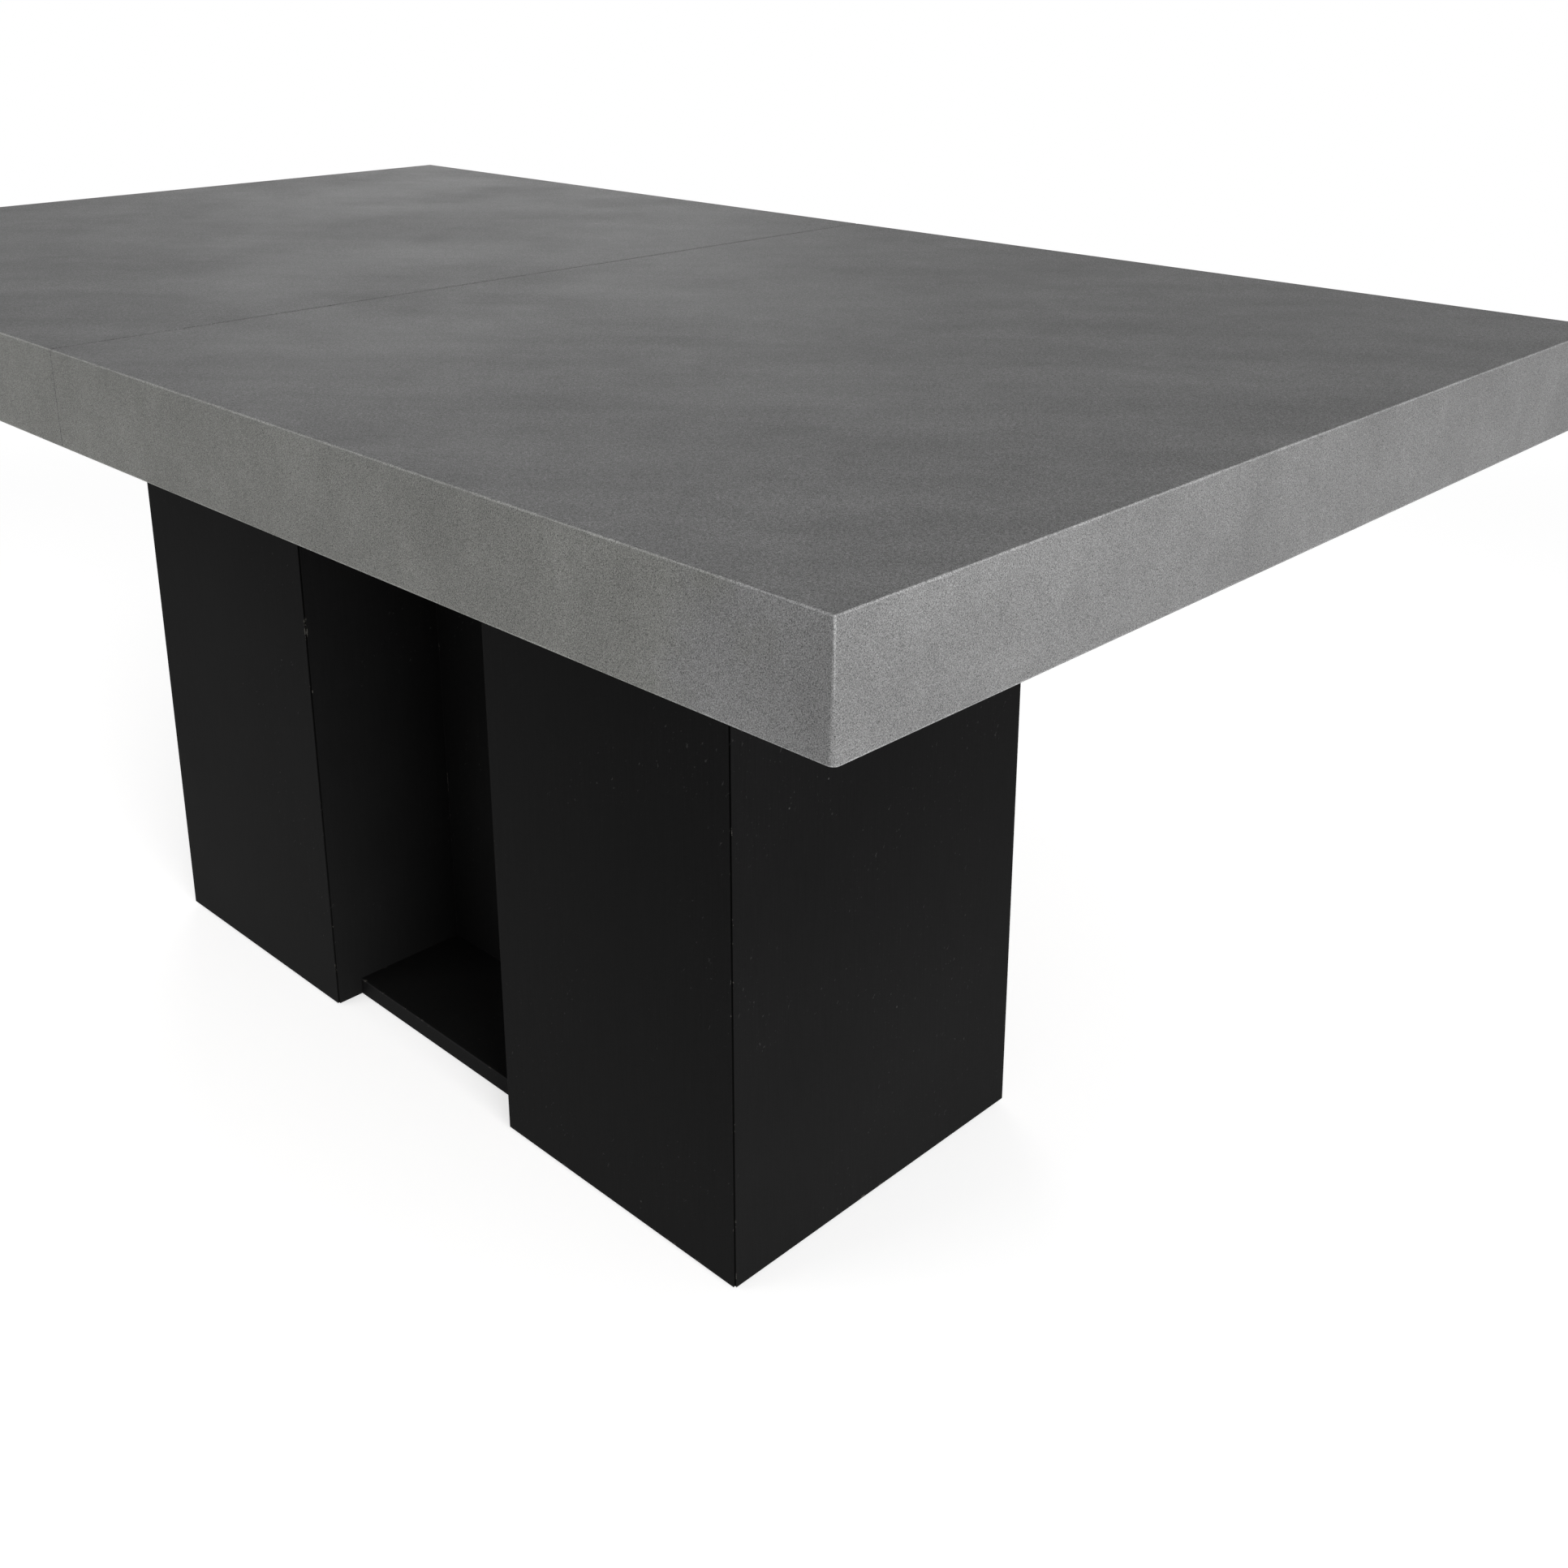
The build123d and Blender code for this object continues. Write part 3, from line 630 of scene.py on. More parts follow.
@dataclass(frozen=True)
class Plywood(Finish):
    """Birch plywood: a pale veneer on the faces and glued plies along the edges."""

    colour: tuple = (0.60, 0.45, 0.28, 1.0)
    ply_colour: tuple = (0.36, 0.23, 0.12, 1.0)
    ply_thickness: float = 1.43 * MM
    ply_edge: Ramp = (-0.3, 0.3)
    side_edge: Ramp = (0.6, 0.3)
    veneer_fineness: tuple = (14.0, 420.0, 420.0)
    veneer_strength: float = 0.4
    cloud_size: float = 120 * MM
    cloud_strength: float = 0.3
    roughness: Ramp = (0.3, 0.7, 0.6, 0.48)
    relief: tuple = (0.04 * MM, 0.6)

    def draw(self, sheet: Surface) -> None:
        """Draw the finish.

        Args:
            sheet: The material's sheet.
        """
        place = sheet.place()
        veneer = sheet.streaks(place, self.veneer_fineness, self.veneer_strength)
        clouds = sheet.clouds(place, self.cloud_size, self.cloud_strength)
        level = sheet.part(place, Axis.Z)
        layer = sheet.math("SINE", sheet.product(level, math.pi / self.ply_thickness))
        side = sheet.ramp(sheet.facing(Axis.Z), *self.side_edge)
        glued = sheet.product(sheet.ramp(layer, *self.ply_edge), side)
        colour = sheet.blend(glued, self.colour, self.ply_colour)
        colour = sheet.scaled(colour, sheet.product(veneer["Tone"], clouds))
        roughness = sheet.ramp(veneer["Height"], *self.roughness)
        sheet.lay(colour, roughness, veneer["Height"], self.relief)


@dataclass(frozen=True)
class DrawnMetal(Finish):
    """Bare metal with drawing or brushing marks and soft stains."""

    along: Axis
    colour: tuple = (0.60, 0.61, 0.63, 1.0)
    stain_colour: tuple = (0.48, 0.47, 0.44, 1.0)
    stain_edge: Ramp = (0.9, 1.4, 0.0, 0.7)
    cloud_size: float = 40 * MM
    cloud_strength: float = 1.6
    mark_fineness: float = 2600.0
    mark_stretch: float = 0.006
    mark_strength: float = 0.22
    roughness: Ramp = (0.25, 0.75, 0.26, 0.42)
    relief: tuple = (0.01 * MM, 0.5)

    def draw(self, sheet: Surface) -> None:
        """Draw the finish.

        Args:
            sheet: The material's sheet.
        """
        place = sheet.place()
        fineness = self.along.drawn_out(self.mark_fineness, self.mark_stretch)
        marks = sheet.streaks(place, fineness, self.mark_strength)
        clouds = sheet.clouds(place, self.cloud_size, self.cloud_strength)
        colour = sheet.blend(sheet.ramp(clouds, *self.stain_edge), self.colour, self.stain_colour)
        colour = sheet.scaled(colour, marks["Tone"])
        roughness = sheet.ramp(marks["Height"], *self.roughness)
        sheet.lay(colour, roughness, marks["Height"], self.relief)
        sheet.put(sheet.shader["Metallic"], 1.0)


@dataclass(frozen=True)
class PowderCoat(Finish):
    """Black powder coat: fine orange peel, dust and slightly dulled patches."""

    colour: tuple = (0.016, 0.016, 0.017, 1.0)
    dust_colour: tuple = (0.08, 0.08, 0.075, 1.0)
    dust: Specks = Specks(14 * MM, 0.4 * MM, 0.4)
    peel_size: float = 0.8 * MM
    peel_contrast: float = 0.5
    cloud_size: float = 60 * MM
    cloud_strength: float = 0.6
    roughness: Ramp = (0.8, 1.2, 0.38, 0.55)
    relief: tuple = (0.05 * MM, 0.7)

    def draw(self, sheet: Surface) -> None:
        """Draw the finish.

        Args:
            sheet: The material's sheet.
        """
        place = sheet.place()
        peel = sheet.grain(place, self.peel_size, self.peel_contrast)
        dust = sheet.specks(place, self.dust)
        clouds = sheet.clouds(place, self.cloud_size, self.cloud_strength)
        colour = sheet.blend(dust, sheet.scaled(self.colour, peel["Tone"]), self.dust_colour)
        sheet.lay(colour, sheet.ramp(clouds, *self.roughness), peel["Height"], self.relief)


@dataclass(frozen=True)
class MouldedNylon(Finish):
    """Moulded nylon: a faint mould texture, cloudy flow and a few dark rubs."""

    colour: tuple
    rub_colour: tuple
    rub_edge: Ramp = (1.04, 1.16, 0.0, 0.5)
    texture_size: float = 0.5 * MM
    texture_contrast: float = 0.12
    cloud_size: float = 20 * MM
    cloud_strength: float = 0.5
    roughness: Ramp = (0.85, 1.15, 0.42, 0.58)
    relief: tuple = (0.03 * MM, 0.5)

    def draw(self, sheet: Surface) -> None:
        """Draw the finish.

        Args:
            sheet: The material's sheet.
        """
        place = sheet.place()
        texture = sheet.grain(place, self.texture_size, self.texture_contrast)
        clouds = sheet.clouds(place, self.cloud_size, self.cloud_strength)
        colour = sheet.blend(sheet.ramp(clouds, *self.rub_edge), self.colour, self.rub_colour)
        colour = sheet.scaled(colour, texture["Tone"])
        sheet.lay(colour, sheet.ramp(clouds, *self.roughness), texture["Height"], self.relief)


class Workpiece:
    """A mesh that is shaped with edit-mode operators, starting from a box."""

    def __init__(self, name: str, low: Vector, high: Vector) -> None:
        """Add the box that the piece is cut from.

        Args:
            name: The piece's name.
            low: The box's lowest corner.
            high: The box's highest corner.
        """
        bpy.ops.object.select_all(action="DESELECT")
        bpy.ops.mesh.primitive_cube_add(size=1.0, location=(low + high) / 2, scale=high - low)
        self.take_up(name)

    def take_up(self, name: str) -> None:
        """Name the new primitive and settle its place and size in its mesh.

        Args:
            name: The piece's name.
        """
        self.piece = bpy.context.active_object
        self.piece.name = self.piece.data.name = name
        bpy.ops.object.transform_apply(location=True, rotation=True, scale=True)

    @classmethod
    def turned(cls, name: str, radius: float, height: float, sides: int) -> "Workpiece":
        """Start from a cylinder that hangs down from the origin.

        Args:
            name: The piece's name.
            radius: The cylinder's radius.
            height: The cylinder's height.
            sides: How many sides it has.

        Returns:
            The piece, ready to be shaped.
        """
        bpy.ops.object.select_all(action="DESELECT")
        bpy.ops.mesh.primitive_cylinder_add(
            vertices=sides, radius=radius, depth=height, location=(0, 0, -height / 2)
        )
        work = cls.__new__(cls)
        work.take_up(name)
        return work

    def take_away(self, cutter: "Workpiece") -> None:
        """Cut another piece's form out of this one, and drop the cutter.

        Args:
            cutter: The piece that is taken away.
        """
        bpy.context.view_layer.objects.active = self.piece
        modifier = self.piece.modifiers.new("recess", "BOOLEAN")
        modifier.object = cutter.piece
        modifier.operation = "DIFFERENCE"
        modifier.solver = "EXACT"
        bpy.ops.object.modifier_apply(modifier=modifier.name)
        bpy.data.objects.remove(cutter.piece)
        self.piece.select_set(True)

    def edit(self, operator: Callable[..., set], **settings: object) -> None:
        """Run an operator in edit mode, on what is selected.

        Args:
            operator: The operator.
            **settings: Its settings.
        """
        bpy.ops.object.mode_set(mode="EDIT")
        operator(**settings)
        bpy.ops.object.mode_set(mode="OBJECT")

    def choose(self, element: Element, wanted: list[bool]) -> None:
        """Select some of the mesh's elements, and nothing else.

        Args:
            element: The kind of element.
            wanted: Whether each one is taken.
        """
        self.edit(bpy.ops.mesh.select_mode, type=element.name)
        self.edit(bpy.ops.mesh.select_all, action="DESELECT")
        getattr(self.piece.data, element.value).foreach_set("select", wanted)

    def choose_faces(self, wanted: Test) -> None:
        """Select faces by their centres and normals."""
        faces = self.piece.data.polygons
        self.choose(Element.FACE, [wanted(face.center, face.normal) for face in faces])

    def choose_points(self, wanted: Callable[[Vector], bool]) -> None:
        """Select corner points by their places."""
        self.choose(Element.VERT, [wanted(point.co) for point in self.piece.data.vertices])

    def choose_arrises(self, wanted: Test) -> None:
        """Select sharp edges by the places of their ends.

        Args:
            wanted: Says from an edge's two ends whether it is taken.
        """
        mesh = self.piece.data
        beside: dict[tuple[int, int], list[Vector]] = {edge.key: [] for edge in mesh.edges}
        for face in mesh.polygons:
            for key in face.edge_keys:
                beside[key].append(face.normal)
        taken = []
        for edge in mesh.edges:
            normals = beside[edge.key]
            sharp = len(normals) == 2 and normals[0].angle(normals[1]) > SHARP_ANGLE
            taken.append(sharp and wanted(*(mesh.vertices[index].co for index in edge.vertices)))
        self.choose(Element.EDGE, taken)

    def cut(self, point: Vector, normal: Vector, away: bool = False) -> None:
        """Cut the piece along a plane, and take away the side that the plane faces if asked to."""
        self.edit(bpy.ops.mesh.select_all, action="SELECT")
        self.edit(
            bpy.ops.mesh.bisect, plane_co=point, plane_no=normal, use_fill=away, clear_outer=away
        )

    def clean(self) -> None:
        """Join faces that lie in one plane."""
        self.edit(bpy.ops.mesh.select_all, action="SELECT")
        self.edit(bpy.ops.mesh.dissolve_limited, angle_limit=FLAT_ANGLE)

    def score(self, wanted: Test, point: Vector, normal: Vector) -> None:
        """Draw a line on faces where a plane meets them."""
        self.choose_faces(wanted)
        self.edit(bpy.ops.mesh.bisect, plane_co=point, plane_no=normal)

    def extrude(self, wanted: Test, offset: Vector) -> None:
        """Draw faces out by an offset."""
        self.choose_faces(wanted)
        self.edit(bpy.ops.mesh.extrude_region_move, TRANSFORM_OT_translate={"value": offset})

    def shift(self, wanted: Callable[[Vector], bool], offset: Vector) -> None:
        """Move points by an offset."""
        self.choose_points(wanted)
        self.edit(bpy.ops.transform.translate, value=offset)

    def scale(self, wanted: Callable[[Vector], bool], centre: Vector, share: float) -> None:
        """Scale points about a centre."""
        self.choose_points(wanted)
        self.edit(bpy.ops.transform.resize, value=(share, share, share), center_override=centre)

    def ease(self, wanted: Test, width: float, steps: int = 3) -> None:
        """Round sharp edges over by a width."""
        self.choose_arrises(wanted)
        self.edit(
            bpy.ops.mesh.bevel, offset=width, segments=steps, affect="EDGES", clamp_overlap=True
        )

    def finish(self) -> Piece:
        """Even out the shading.

        Returns:
            The finished object.
        """
        bpy.ops.object.shade_smooth_by_angle(angle=SMOOTH_ANGLE)
        bpy.ops.object.modifier_add(type="WEIGHTED_NORMAL")
        modifier = self.piece.modifiers[-1]
        modifier.keep_sharp = True
        bpy.ops.object.modifier_apply(modifier=modifier.name)
        return self.piece


def upright(first: Vector, last: Vector) -> bool:
    """Whether an edge runs straight up."""
    return (first - last).to_2d().length < TOUCH


def at_level(level: float) -> Test:
    """A test for edges that lie at one level."""
    return lambda first, last: abs(first.z - level) < TOUCH and abs(last.z - level) < TOUCH


def upright_at(level: float, way: Vector) -> Test:
    """A test for upright edges that lie at one distance along a way."""
    return lambda first, last: upright(first, last) and abs(first.dot(way) - level) < TOUCH


def joined(pieces: list[Piece]) -> Piece:
    """Make several meshes one.

    Args:
        pieces: The meshes.

    Returns:
        The first one, with the others in it.
    """
    bpy.ops.object.select_all(action="DESELECT")
    for piece in pieces:
        piece.select_set(True)
    bpy.context.view_layer.objects.active = pieces[0]
    bpy.ops.object.join()
    return pieces[0]


def hand_over(piece: Piece, body: str, node: str | None, material: Material) -> None:
    """Dress a modelled piece and put it in its place.

    Args:
        piece: The modelled piece.
        body: The body that it moves with.
        node: The node that it stands for, if it stands for one.
        material: Its finish.
    """
    piece.data.materials.clear()
    piece.data.materials.append(material)
    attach(piece, body)
    if node:
        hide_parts(node)
    faces = len(piece.data.polygons)
    LOG.info("%s: %d faces, rides on %s, for %s", piece.name, faces, body, node or "no node")


@dataclass
class HalfTop:
    """One cast half top: a panel with edges turned down on three sides, open at the joint."""

    side: Side
    panel: float = 16 * MM
    skirt: float = 18 * MM
    top_corner: float = 1.6 * MM
    foot_corner: float = 4.2 * MM
    inner_corner: float = 12 * MM
    corner_steps: int = 5
    top_arris: float = 1.5 * MM
    bottom_arris: float = 0.8 * MM
    joint_arris: float = 1.0 * MM
    joint_relief: float = 0.45 * MM
    relief_depth: float = 6 * MM

    @property
    def node(self) -> str:
        """The node that this half stands for."""
        return f"{self.side.value}_half_top"

    def model(self) -> Piece:
        """Shape the half top from its panel.

        Returns:
            The finished object.
        """
        low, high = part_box(self.node)
        out = Vector((self.side.sign, 0, 0))
        end_x = max(out.dot(low), out.dot(high))
        skirt_x = end_x - self.skirt
        skirt_y = high.y - self.skirt
        ceiling = high.z - self.panel
        work = Workpiece(f"cast_{self.node}", Vector((low.x, low.y, ceiling)), high)
        for y in (-skirt_y, skirt_y):
            work.cut(Vector((0, y, 0)), Vector((0, 1, 0)))
        work.cut(out * skirt_x, Vector((1, 0, 0)))
        work.extrude(
            lambda centre, normal: normal.z < -FACING_LIMIT
            and (abs(centre.y) > skirt_y or out.dot(centre) > skirt_x),
            Vector((0, 0, low.z - ceiling)),
        )
        work.clean()
        self.relieve_joint(work, high)
        work.ease(upright_at(end_x, out), self.foot_corner, self.corner_steps)
        for end_y in (low.y, high.y):
            self.sharpen_corner(work, Vector((out.x * end_x, end_y, high.z)))
        work.ease(upright_at(skirt_x, out), self.inner_corner, self.corner_steps)
        work.ease(at_level(high.z), self.top_arris)
        work.ease(at_level(low.z), self.bottom_arris)
        work.ease(upright_at(self.joint_relief, out), self.joint_arris, 2)
        return work.finish()

    def relieve_joint(self, work: Workpiece, high: Vector) -> None:
        """Slope the joint face back to its arrises, so that the closed joint is a fine dark line.

        Args:
            work: The piece that is shaped.
            high: The half top's highest corner.
        """
        out = Vector((self.side.sign, 0, 0))
        start_y, start_z = high.y - self.relief_depth, high.z - self.relief_depth
        for start in (Vector((0, 0, start_z)), Vector((0, start_y, 0)), Vector((0, -start_y, 0))):
            work.score(
                lambda centre, normal: out.dot(normal) < -FACING_LIMIT and abs(centre.x) < TOUCH,
                start, start.normalized(),
            )
        work.shift(
            lambda point: abs(point.x) < TOUCH
            and (point.z > start_z + TOUCH or abs(point.y) > start_y + TOUCH),
            out * self.joint_relief,
        )

    def sharpen_corner(self, work: Workpiece, tip: Vector) -> None:
        """Draw a rounded corner in towards its upper tip: crisp there, still round at its foot."""
        reach, share = self.foot_corner + TOUCH, self.top_corner / self.foot_corner
        work.scale(lambda point: (point - tip).length < reach, tip, share)

    def build(self) -> None:
        """Model the half top and dress it."""
        low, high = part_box(self.node)
        reach = max(abs(low.x), abs(high.x))
        concrete = CastConcrete(Span((-reach, -high.y, low.z), (reach, high.y, high.z)))
        material = concrete.build(f"concrete_{self.node}")
        hand_over(self.model(), f"{self.side.value}_top", self.node, material)


@dataclass
class ExtensionLeaf:
    """The leaf that lies under the closed top: a cast face on a plywood back."""

    node: str = "leaf_skin"
    top_arris: float = 1.5 * MM
    under_arris: float = 0.6 * MM
    corner: float = 1.2 * MM

    def model(self) -> Piece:
        """Shape the leaf's cast face.

        Returns:
            The finished object.
        """
        low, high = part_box(self.node)
        work = Workpiece(f"cast_{self.node}", low, high)
        work.ease(upright, self.corner)
        work.ease(at_level(high.z), self.top_arris)
        work.ease(at_level(low.z), self.under_arris, 2)
        return work.finish()

    def build(self) -> None:
        """Model the leaf's cast face and dress it."""
        low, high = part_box(self.node)
        concrete = CastConcrete(Span((-high.x, -high.y, low.z), tuple(high)))
        hand_over(self.model(), "leaf", self.node, concrete.build("concrete_leaf"))


class Facing(Enum):
    """The way that each board of a column faces, on the right side."""

    FRONT = ("front", (0, -1, 0))
    OUTER = ("outer", (1, 0, 0))
    BACK = ("back", (0, 1, 0))
    INNER = ("inner", (-1, 0, 0))

    def outward(self, side: Side) -> Vector:
        """The way that the board faces on one side of the table."""
        x, y, z = self.value[1]
        return Vector((side.sign * x, y, z))


@dataclass
class Column:
    """One box column of the base: four painted boards with open mitres."""

    side: Side
    arris: float = 0.9 * MM
    end_arris: float = 0.5 * MM
    board: float = 22 * MM
    tongue_setback: float = 2.6 * MM
    # Near black, darker than the boards' paint: painted shade in the mitre seams.
    tongue_shade_colour: tuple = (0.001, 0.001, 0.001, 1.0)

    def board_node(self, facing: Facing) -> str:
        """The node of the board that faces one way."""
        return f"{self.side.value}_column_{facing.value[0]}_board"

    def model_board(self, facing: Facing) -> Piece:
        """Shape one board with a mitre at each end.

        Args:
            facing: The way that the board faces.

        Returns:
            The finished object.
        """
        node = self.board_node(facing)
        low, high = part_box(node)
        outward = facing.outward(self.side)
        along = Vector((-outward.y, outward.x, 0))
        half = (high - low) / 2
        face = (low + high) / 2 + outward * abs(outward.dot(half))
        run = abs(along.dot(half))
        work = Workpiece(f"painted_{node}", low, high)
        for end in (-1, 1):
            work.cut(face + along * end * run, along * end - outward, away=True)
        work.ease(upright_at(face.dot(outward), outward), self.arris)
        work.ease(lambda a, b: at_level(low.z)(a, b) or at_level(high.z)(a, b), self.end_arris, 2)
        return work.finish()

    def model_tongue(self, tip: Vector, step: Vector, top: float, half_gap: float) -> Piece:
        """Shape the thin tongue that fills one open mitre from behind.

        Args:
            tip: The mitre's outer corner, at the column's foot.
            step: The signs of the way from there to the column's middle.
            top: The level of the column's top.
            half_gap: Half the width of the open mitre.

        Returns:
            The finished tongue.
        """
        far = tip + step * self.board
        far.z = top
        low, high = (Vector(map(pick, tip, far)) for pick in (min, max))
        work = Workpiece(f"{self.side.value}_column_mitre_tongues", low, high)
        across = Vector((-step.y, step.x, 0)).normalized()
        for way in (across, -across):
            work.cut(tip + way * half_gap, way, away=True)
        work.cut(tip + step.normalized() * self.tongue_setback, -step, away=True)
        return work.finish()

    def model_tongues(self, span: Span) -> Piece:
        """Shape the four tongues in the column's open mitres; they are dressed near black as painted
        shade in the seams.

        Args:
            span: The column's box, on the right side.

        Returns:
            The tongues as one finished object.
        """
        low, high = Vector(span.low), Vector(span.high)
        middle = (low + high) / 2
        shortfall = high.x - max(abs(corner.x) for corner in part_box(self.board_node(Facing.FRONT)))
        half_gap = shortfall * math.sin(MITRE_ANGLE)
        pieces = []
        for x in (low.x, high.x):
            for y in (low.y, high.y):
                step = Vector((math.copysign(1, middle.x - x), math.copysign(1, middle.y - y), 0))
                step.x *= self.side.sign
                tip = Vector((self.side.sign * x, y, low.z))
                pieces.append(self.model_tongue(tip, step, high.z, half_gap))
        return joined(pieces)

    def build(self) -> None:
        """Model the column's boards and tongues and dress them."""
        boxes = [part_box(self.board_node(facing)) for facing in Facing]
        inner = min(min(abs(low.x), abs(high.x)) for low, high in boxes)
        outer = max(max(abs(low.x), abs(high.x)) for low, high in boxes)
        across = max(high.y for _, high in boxes)
        low, high = boxes[0]
        span = Span((inner, -across, low.z), (outer, across, high.z))
        paint = BlackPaint(span).build(f"paint_{self.side.value}_column")
        for facing in Facing:
            node = self.board_node(facing)
            hand_over(self.model_board(facing), "base", node, paint)
        # The tongues get a near-black paint as painted shade in the mitre seams.
        in_shade = BlackPaint(span, self.tongue_shade_colour).build(f"stain_{self.side.value}_tongues")
        hand_over(self.model_tongues(span), "base", None, in_shade)


@dataclass
class Web:
    """The recessed boards between the columns and the board at their foot."""

    nodes: tuple = ("front_web_board", "back_web_board", "floor_board")
    arris: float = 0.8 * MM

    def model_board(self, node: str) -> Piece:
        """Shape one board with eased arrises.

        Args:
            node: The board's node.

        Returns:
            The finished object.
        """
        work = Workpiece(f"painted_{node}", *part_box(node))
        work.ease(lambda a, b: True, self.arris)
        return work.finish()

    def build(self) -> None:
        """Model the boards and dress them."""
        for node in self.nodes:
            low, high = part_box(node)
            near, far = sorted((abs(low.y), abs(high.y)))
            inner = near if low.y * high.y > 0 else -far
            span = Span((-high.x, inner, low.z), (high.x, far, high.z))
            paint = BlackPaint(span).build(f"paint_{node}")
            hand_over(self.model_board(node), "base", node, paint)


@dataclass
class Screws:
    """Cross-head screws that hold bearers to the cast halves and the leaf's back to its face."""

    head_radius: float = 4.5 * MM
    head_height: float = 2.4 * MM
    head_sides: int = 28
    dome: float = 1.5 * MM
    dome_steps: int = 4
    recess_width: float = 1.5 * MM
    recess_length: float = 5.2 * MM
    recess_depth: float = 1.4 * MM
    bearer_inset: float = 18 * MM
    bearer_rows: tuple = (-0.335, -0.085, 0.085, 0.335)
    leaf_columns: tuple = (-0.195, 0.0, 0.195)
    leaf_rows: tuple = (-0.31, -0.06, 0.06, 0.31)

    def model_head(self, name: str) -> Piece:
        """Shape one domed head at the origin, with its recess below.

        Args:
            name: The piece's name.

        Returns:
            The finished head.
        """
        work = Workpiece.turned(name, self.head_radius, self.head_height, self.head_sides)
        work.ease(at_level(-self.head_height), self.dome, self.dome_steps)
        floor = -self.head_height + self.recess_depth
        long, short = self.recess_length / 2, self.recess_width / 2
        for x, y in ((long, short), (short, long)):
            low = Vector((-x, -y, -2 * self.head_height))
            work.take_away(Workpiece(f"{name}_recess", low, Vector((x, y, floor))))
        return work.finish()

    def build_set(self, name: str, body: str, points: list[Vector], material: Material) -> None:
        """Copy a head to each of its points, as one piece.

        Args:
            name: The piece's name.
            body: The body that the screws move with.
            points: Where the screws go in.
            material: Their finish.
        """
        heads = [self.model_head(name)]
        for first, last in zip(points, points[1:]):
            bpy.ops.object.duplicate(linked=False)
            bpy.ops.transform.translate(value=last - first)
            heads.append(bpy.context.active_object)
        for head in heads:
            head.select_set(True)
        bpy.ops.transform.translate(value=points[0])
        bpy.ops.object.transform_apply(location=True, rotation=True, scale=True)
        hand_over(joined(heads), body, None, material)

    def build(self, material: Material) -> None:
        """Put in every screw.

        Args:
            material: The screws' finish.
        """
        for side in Side:
            low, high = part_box(f"{side.value}_top_bearers")
            columns = (low.x + self.bearer_inset, high.x - self.bearer_inset)
            points = [Vector((x, y, low.z)) for x in columns for y in self.bearer_rows]
            self.build_set(f"{side.value}_bearer_screws", f"{side.value}_top", points, material)
        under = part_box("leaf_core")[0].z
        points = [Vector((x, y, under)) for x in self.leaf_columns for y in self.leaf_rows]
        self.build_set("leaf_screws", "leaf", points, material)


@dataclass
class RunningGear:
    """What keeps its own solids: rails, racks, pinion, carriage, locks and inner timber."""

    grain_along: tuple = (
        ("right_top_bearers", Axis.Y), ("left_top_bearers", Axis.Y), ("web_battens", Axis.X),
        ("right_column_corner_posts", Axis.Z), ("left_column_corner_posts", Axis.Z),
        ("right_column_caps", Axis.Y), ("left_column_caps", Axis.Y),
    )
    beech: Timber = Timber(
        Axis.X, (0.46, 0.27, 0.14, 1.0), (0.34, 0.18, 0.08, 1.0), ring_width=4 * MM
    )
    zinc: DrawnMetal = DrawnMetal(
        Axis.X, (0.56, 0.57, 0.59, 1.0), (0.50, 0.47, 0.38, 1.0), roughness=(0.25, 0.75, 0.3, 0.46)
    )
    white_nylon: MouldedNylon = MouldedNylon((0.70, 0.69, 0.64, 1.0), (0.45, 0.44, 0.40, 1.0))
    black_nylon: MouldedNylon = MouldedNylon((0.018, 0.018, 0.018, 1.0), (0.05, 0.05, 0.05, 1.0))

    def finishes(self) -> dict[str, Material]:
        """Draw the finishes of the running gear.

        Returns:
            The material of each slot.
        """
        return {
            "plywood": Plywood().build("birch_plywood"),
            "hardwood": self.beech.build("planed_beech"),
            "black_steel": PowderCoat().build("powder_coated_steel"),
            "rail_aluminium": DrawnMetal(Axis.X).build("drawn_aluminium"),
            "bright_steel": self.zinc.build("zinc_plated_steel"),
            "white_nylon": self.white_nylon.build("white_nylon"),
            "black_nylon": self.black_nylon.build("black_nylon"),
        }

    def build(self) -> None:
        """Put the screws in and dress every node that isn't replaced."""
        by_slot = self.finishes()
        Screws().build(by_slot["bright_steel"])
        timber = {axis: Timber(axis).build(f"planed_timber_{axis.name.lower()}") for axis in Axis}
        along = dict(self.grain_along)
        slots = {part["node"]: part["material_slot"] for part in frame["record"]["subparts"]}
        for name, node in frame["nodes"].items():
            if node.hide_render:
                continue
            material = timber[along[name]] if name in along else by_slot[slots[name]]
            node.data.materials.clear()
            node.data.materials.append(material)
            LOG.info("%s: kept, dressed in %s", name, material.name)


@dataclass(frozen=True)
class Lamp:
    """A soft square lamp: where it hangs, the length of its sides and its power in watts."""

    name: str
    place: tuple
    size: float
    power: float

    def hang(self, aim: Vector) -> None:
        """Hang the lamp.

        Args:
            aim: The point that it is turned to.
        """
        bpy.ops.object.light_add(type="AREA", location=self.place)
        lamp = bpy.context.active_object
        lamp.name = self.name
        lamp.data.shape = "SQUARE"
        lamp.data.size = self.size
        lamp.data.energy = self.power
        lamp.rotation_euler = (aim - Vector(self.place)).to_track_quat("-Z", "Y").to_euler()


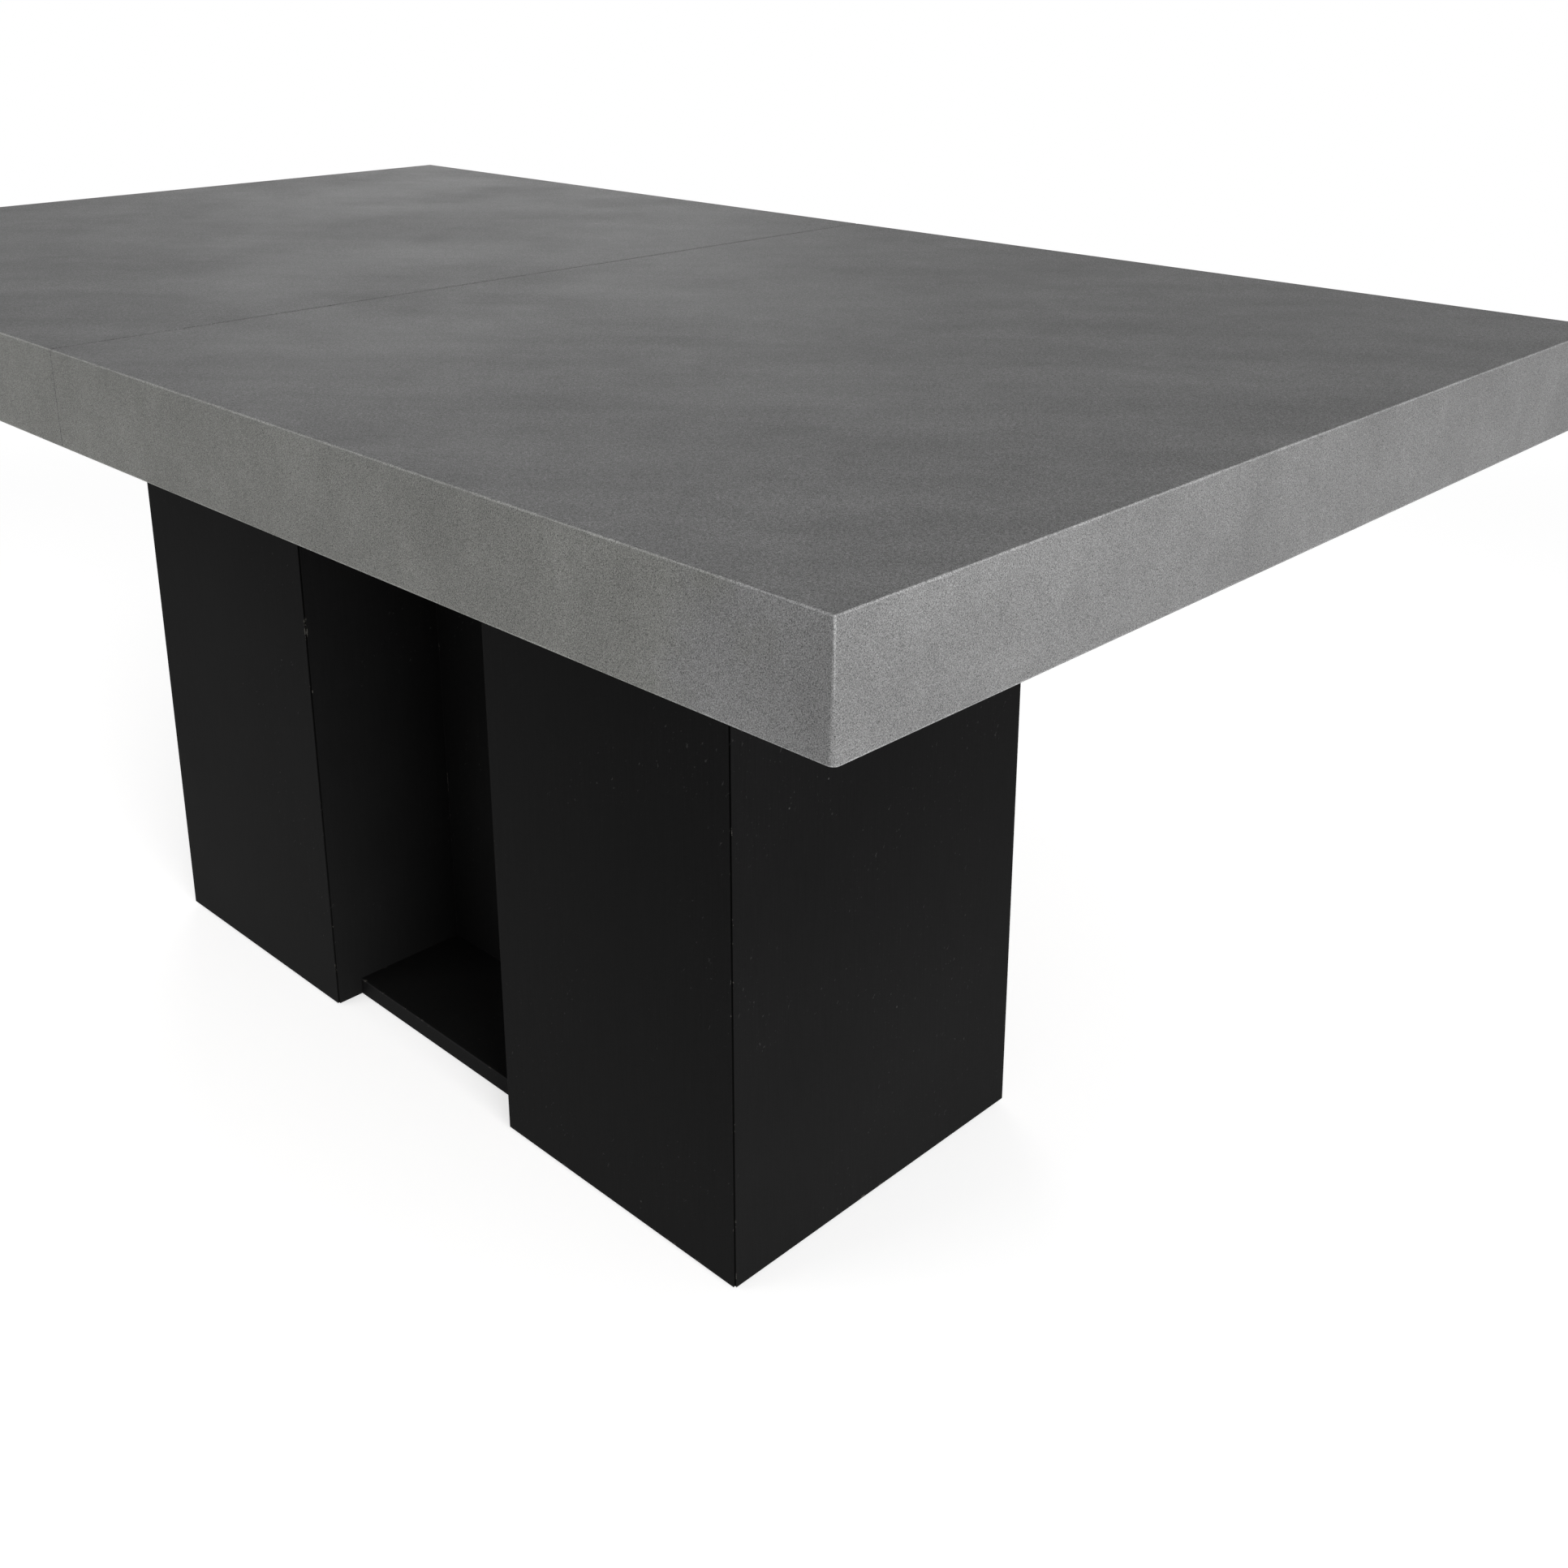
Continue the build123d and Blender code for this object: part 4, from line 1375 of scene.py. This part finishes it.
@dataclass
class Studio:
    """A pale floor, a white surround, soft lamps and the camera."""

    floor_size: float = 60.0
    floor_drop: float = 0.2 * MM
    floor_colour: tuple = (0.80, 0.80, 0.80, 1.0)
    floor_roughness: float = 0.9
    floor_lift: float = 0.62
    floor_fade: Ramp = (1.4, 4.5, 1.0, 0.0)
    surround: float = 0.315
    lamps: tuple = (
        Lamp("key_lamp", (6.2, -1.9, 1.62), 3.24, 388.0),
        Lamp("front_lamp", (-1.0, -2.7, 1.35), 1.6, 19.0),
        Lamp("back_lamp", (-4.4, 3.1, 1.1), 2.4, 76.0),
    )
    aim: tuple = (0.5, -0.2, 0.6)
    photo_size: float = 1932.0
    camera_place: tuple = (1.3035, -0.9977, 1.0429)
    camera_turn: float = math.radians(44.36)
    camera_tilt: float = math.radians(18.17)
    focal_pixels: float = 2187.0
    shift: float = -0.16
    sensor: float = 36.0

    def seen_directly(self, sheet: Sheet) -> Socket:
        """Tell what is looked at from what only gives light.

        Args:
            sheet: The sheet that is drawn on.

        Returns:
            1 where the camera, a reflection or glass sees a surface, and 0 elsewhere.
        """
        path = sheet.add("ShaderNodeLightPath").outputs
        seen = sheet.math("MAXIMUM", path["Is Camera Ray"], path["Is Glossy Ray"])
        return sheet.math("MAXIMUM", seen, path["Is Transmission Ray"])

    def build_floor(self) -> None:
        """Lay the floor: it keeps the table's shadow, and fades to white away from it."""
        bpy.ops.object.select_all(action="DESELECT")
        bpy.ops.mesh.primitive_plane_add(size=self.floor_size, location=(0, 0, -self.floor_drop))
        floor = bpy.context.active_object
        floor.name = "studio_floor"
        sheet = Surface("pale_floor")
        place = {0: sheet.place()}
        away = sheet.add("ShaderNodeVectorMath", place, operation="LENGTH").outputs["Value"]
        near = sheet.ramp(away, *self.floor_fade)
        glow = sheet.product(self.seen_directly(sheet), sheet.within(near, self.floor_lift))
        sheet.put(sheet.shader["Base Color"], sheet.scaled(self.floor_colour, near))
        sheet.put(sheet.shader["Roughness"], self.floor_roughness)
        sheet.put(sheet.shader["Specular IOR Level"], 0.0)
        sheet.put(sheet.shader["Emission Color"], WHITE)
        sheet.put(sheet.shader["Emission Strength"], glow)
        floor.data.materials.append(sheet.made)

    def build_surround(self) -> None:
        """Hang a surround that is white to look at and lights softly."""
        world = bpy.data.worlds.new("surround")
        bpy.context.scene.world = world
        world.use_nodes = True
        sheet = Sheet(world.node_tree)
        background = world.node_tree.nodes["Background"].inputs
        sheet.put(background["Color"], WHITE)
        strength = sheet.ramp(self.seen_directly(sheet), 0.0, 1.0, self.surround, 1.0)
        sheet.put(background["Strength"], strength)

    def build_camera(self) -> None:
        """Set up the camera as the photograph was taken."""
        bpy.ops.object.camera_add(location=self.camera_place)
        camera = bpy.context.active_object
        camera.rotation_euler = (math.pi / 2 - self.camera_tilt, 0.0, self.camera_turn)
        camera.data.sensor_width = self.sensor
        camera.data.lens = self.focal_pixels / self.photo_size * self.sensor
        camera.data.shift_y = self.shift
        bpy.context.scene.camera = camera

    def build(self) -> None:
        """Put up the whole studio."""
        bpy.context.scene.view_settings.view_transform = "Standard"
        self.build_floor()
        self.build_surround()
        for lamp in self.lamps:
            lamp.hang(Vector(self.aim))
        self.build_camera()


def main() -> None:
    """Build the table's looks, piece by piece."""
    logging.basicConfig(level=logging.INFO, format="%(message)s")
    for side in Side:
        HalfTop(side).build()
    ExtensionLeaf().build()
    for side in Side:
        Column(side).build()
    Web().build()
    RunningGear().build()
    Studio().build()


if __name__ == "__main__":
    main()
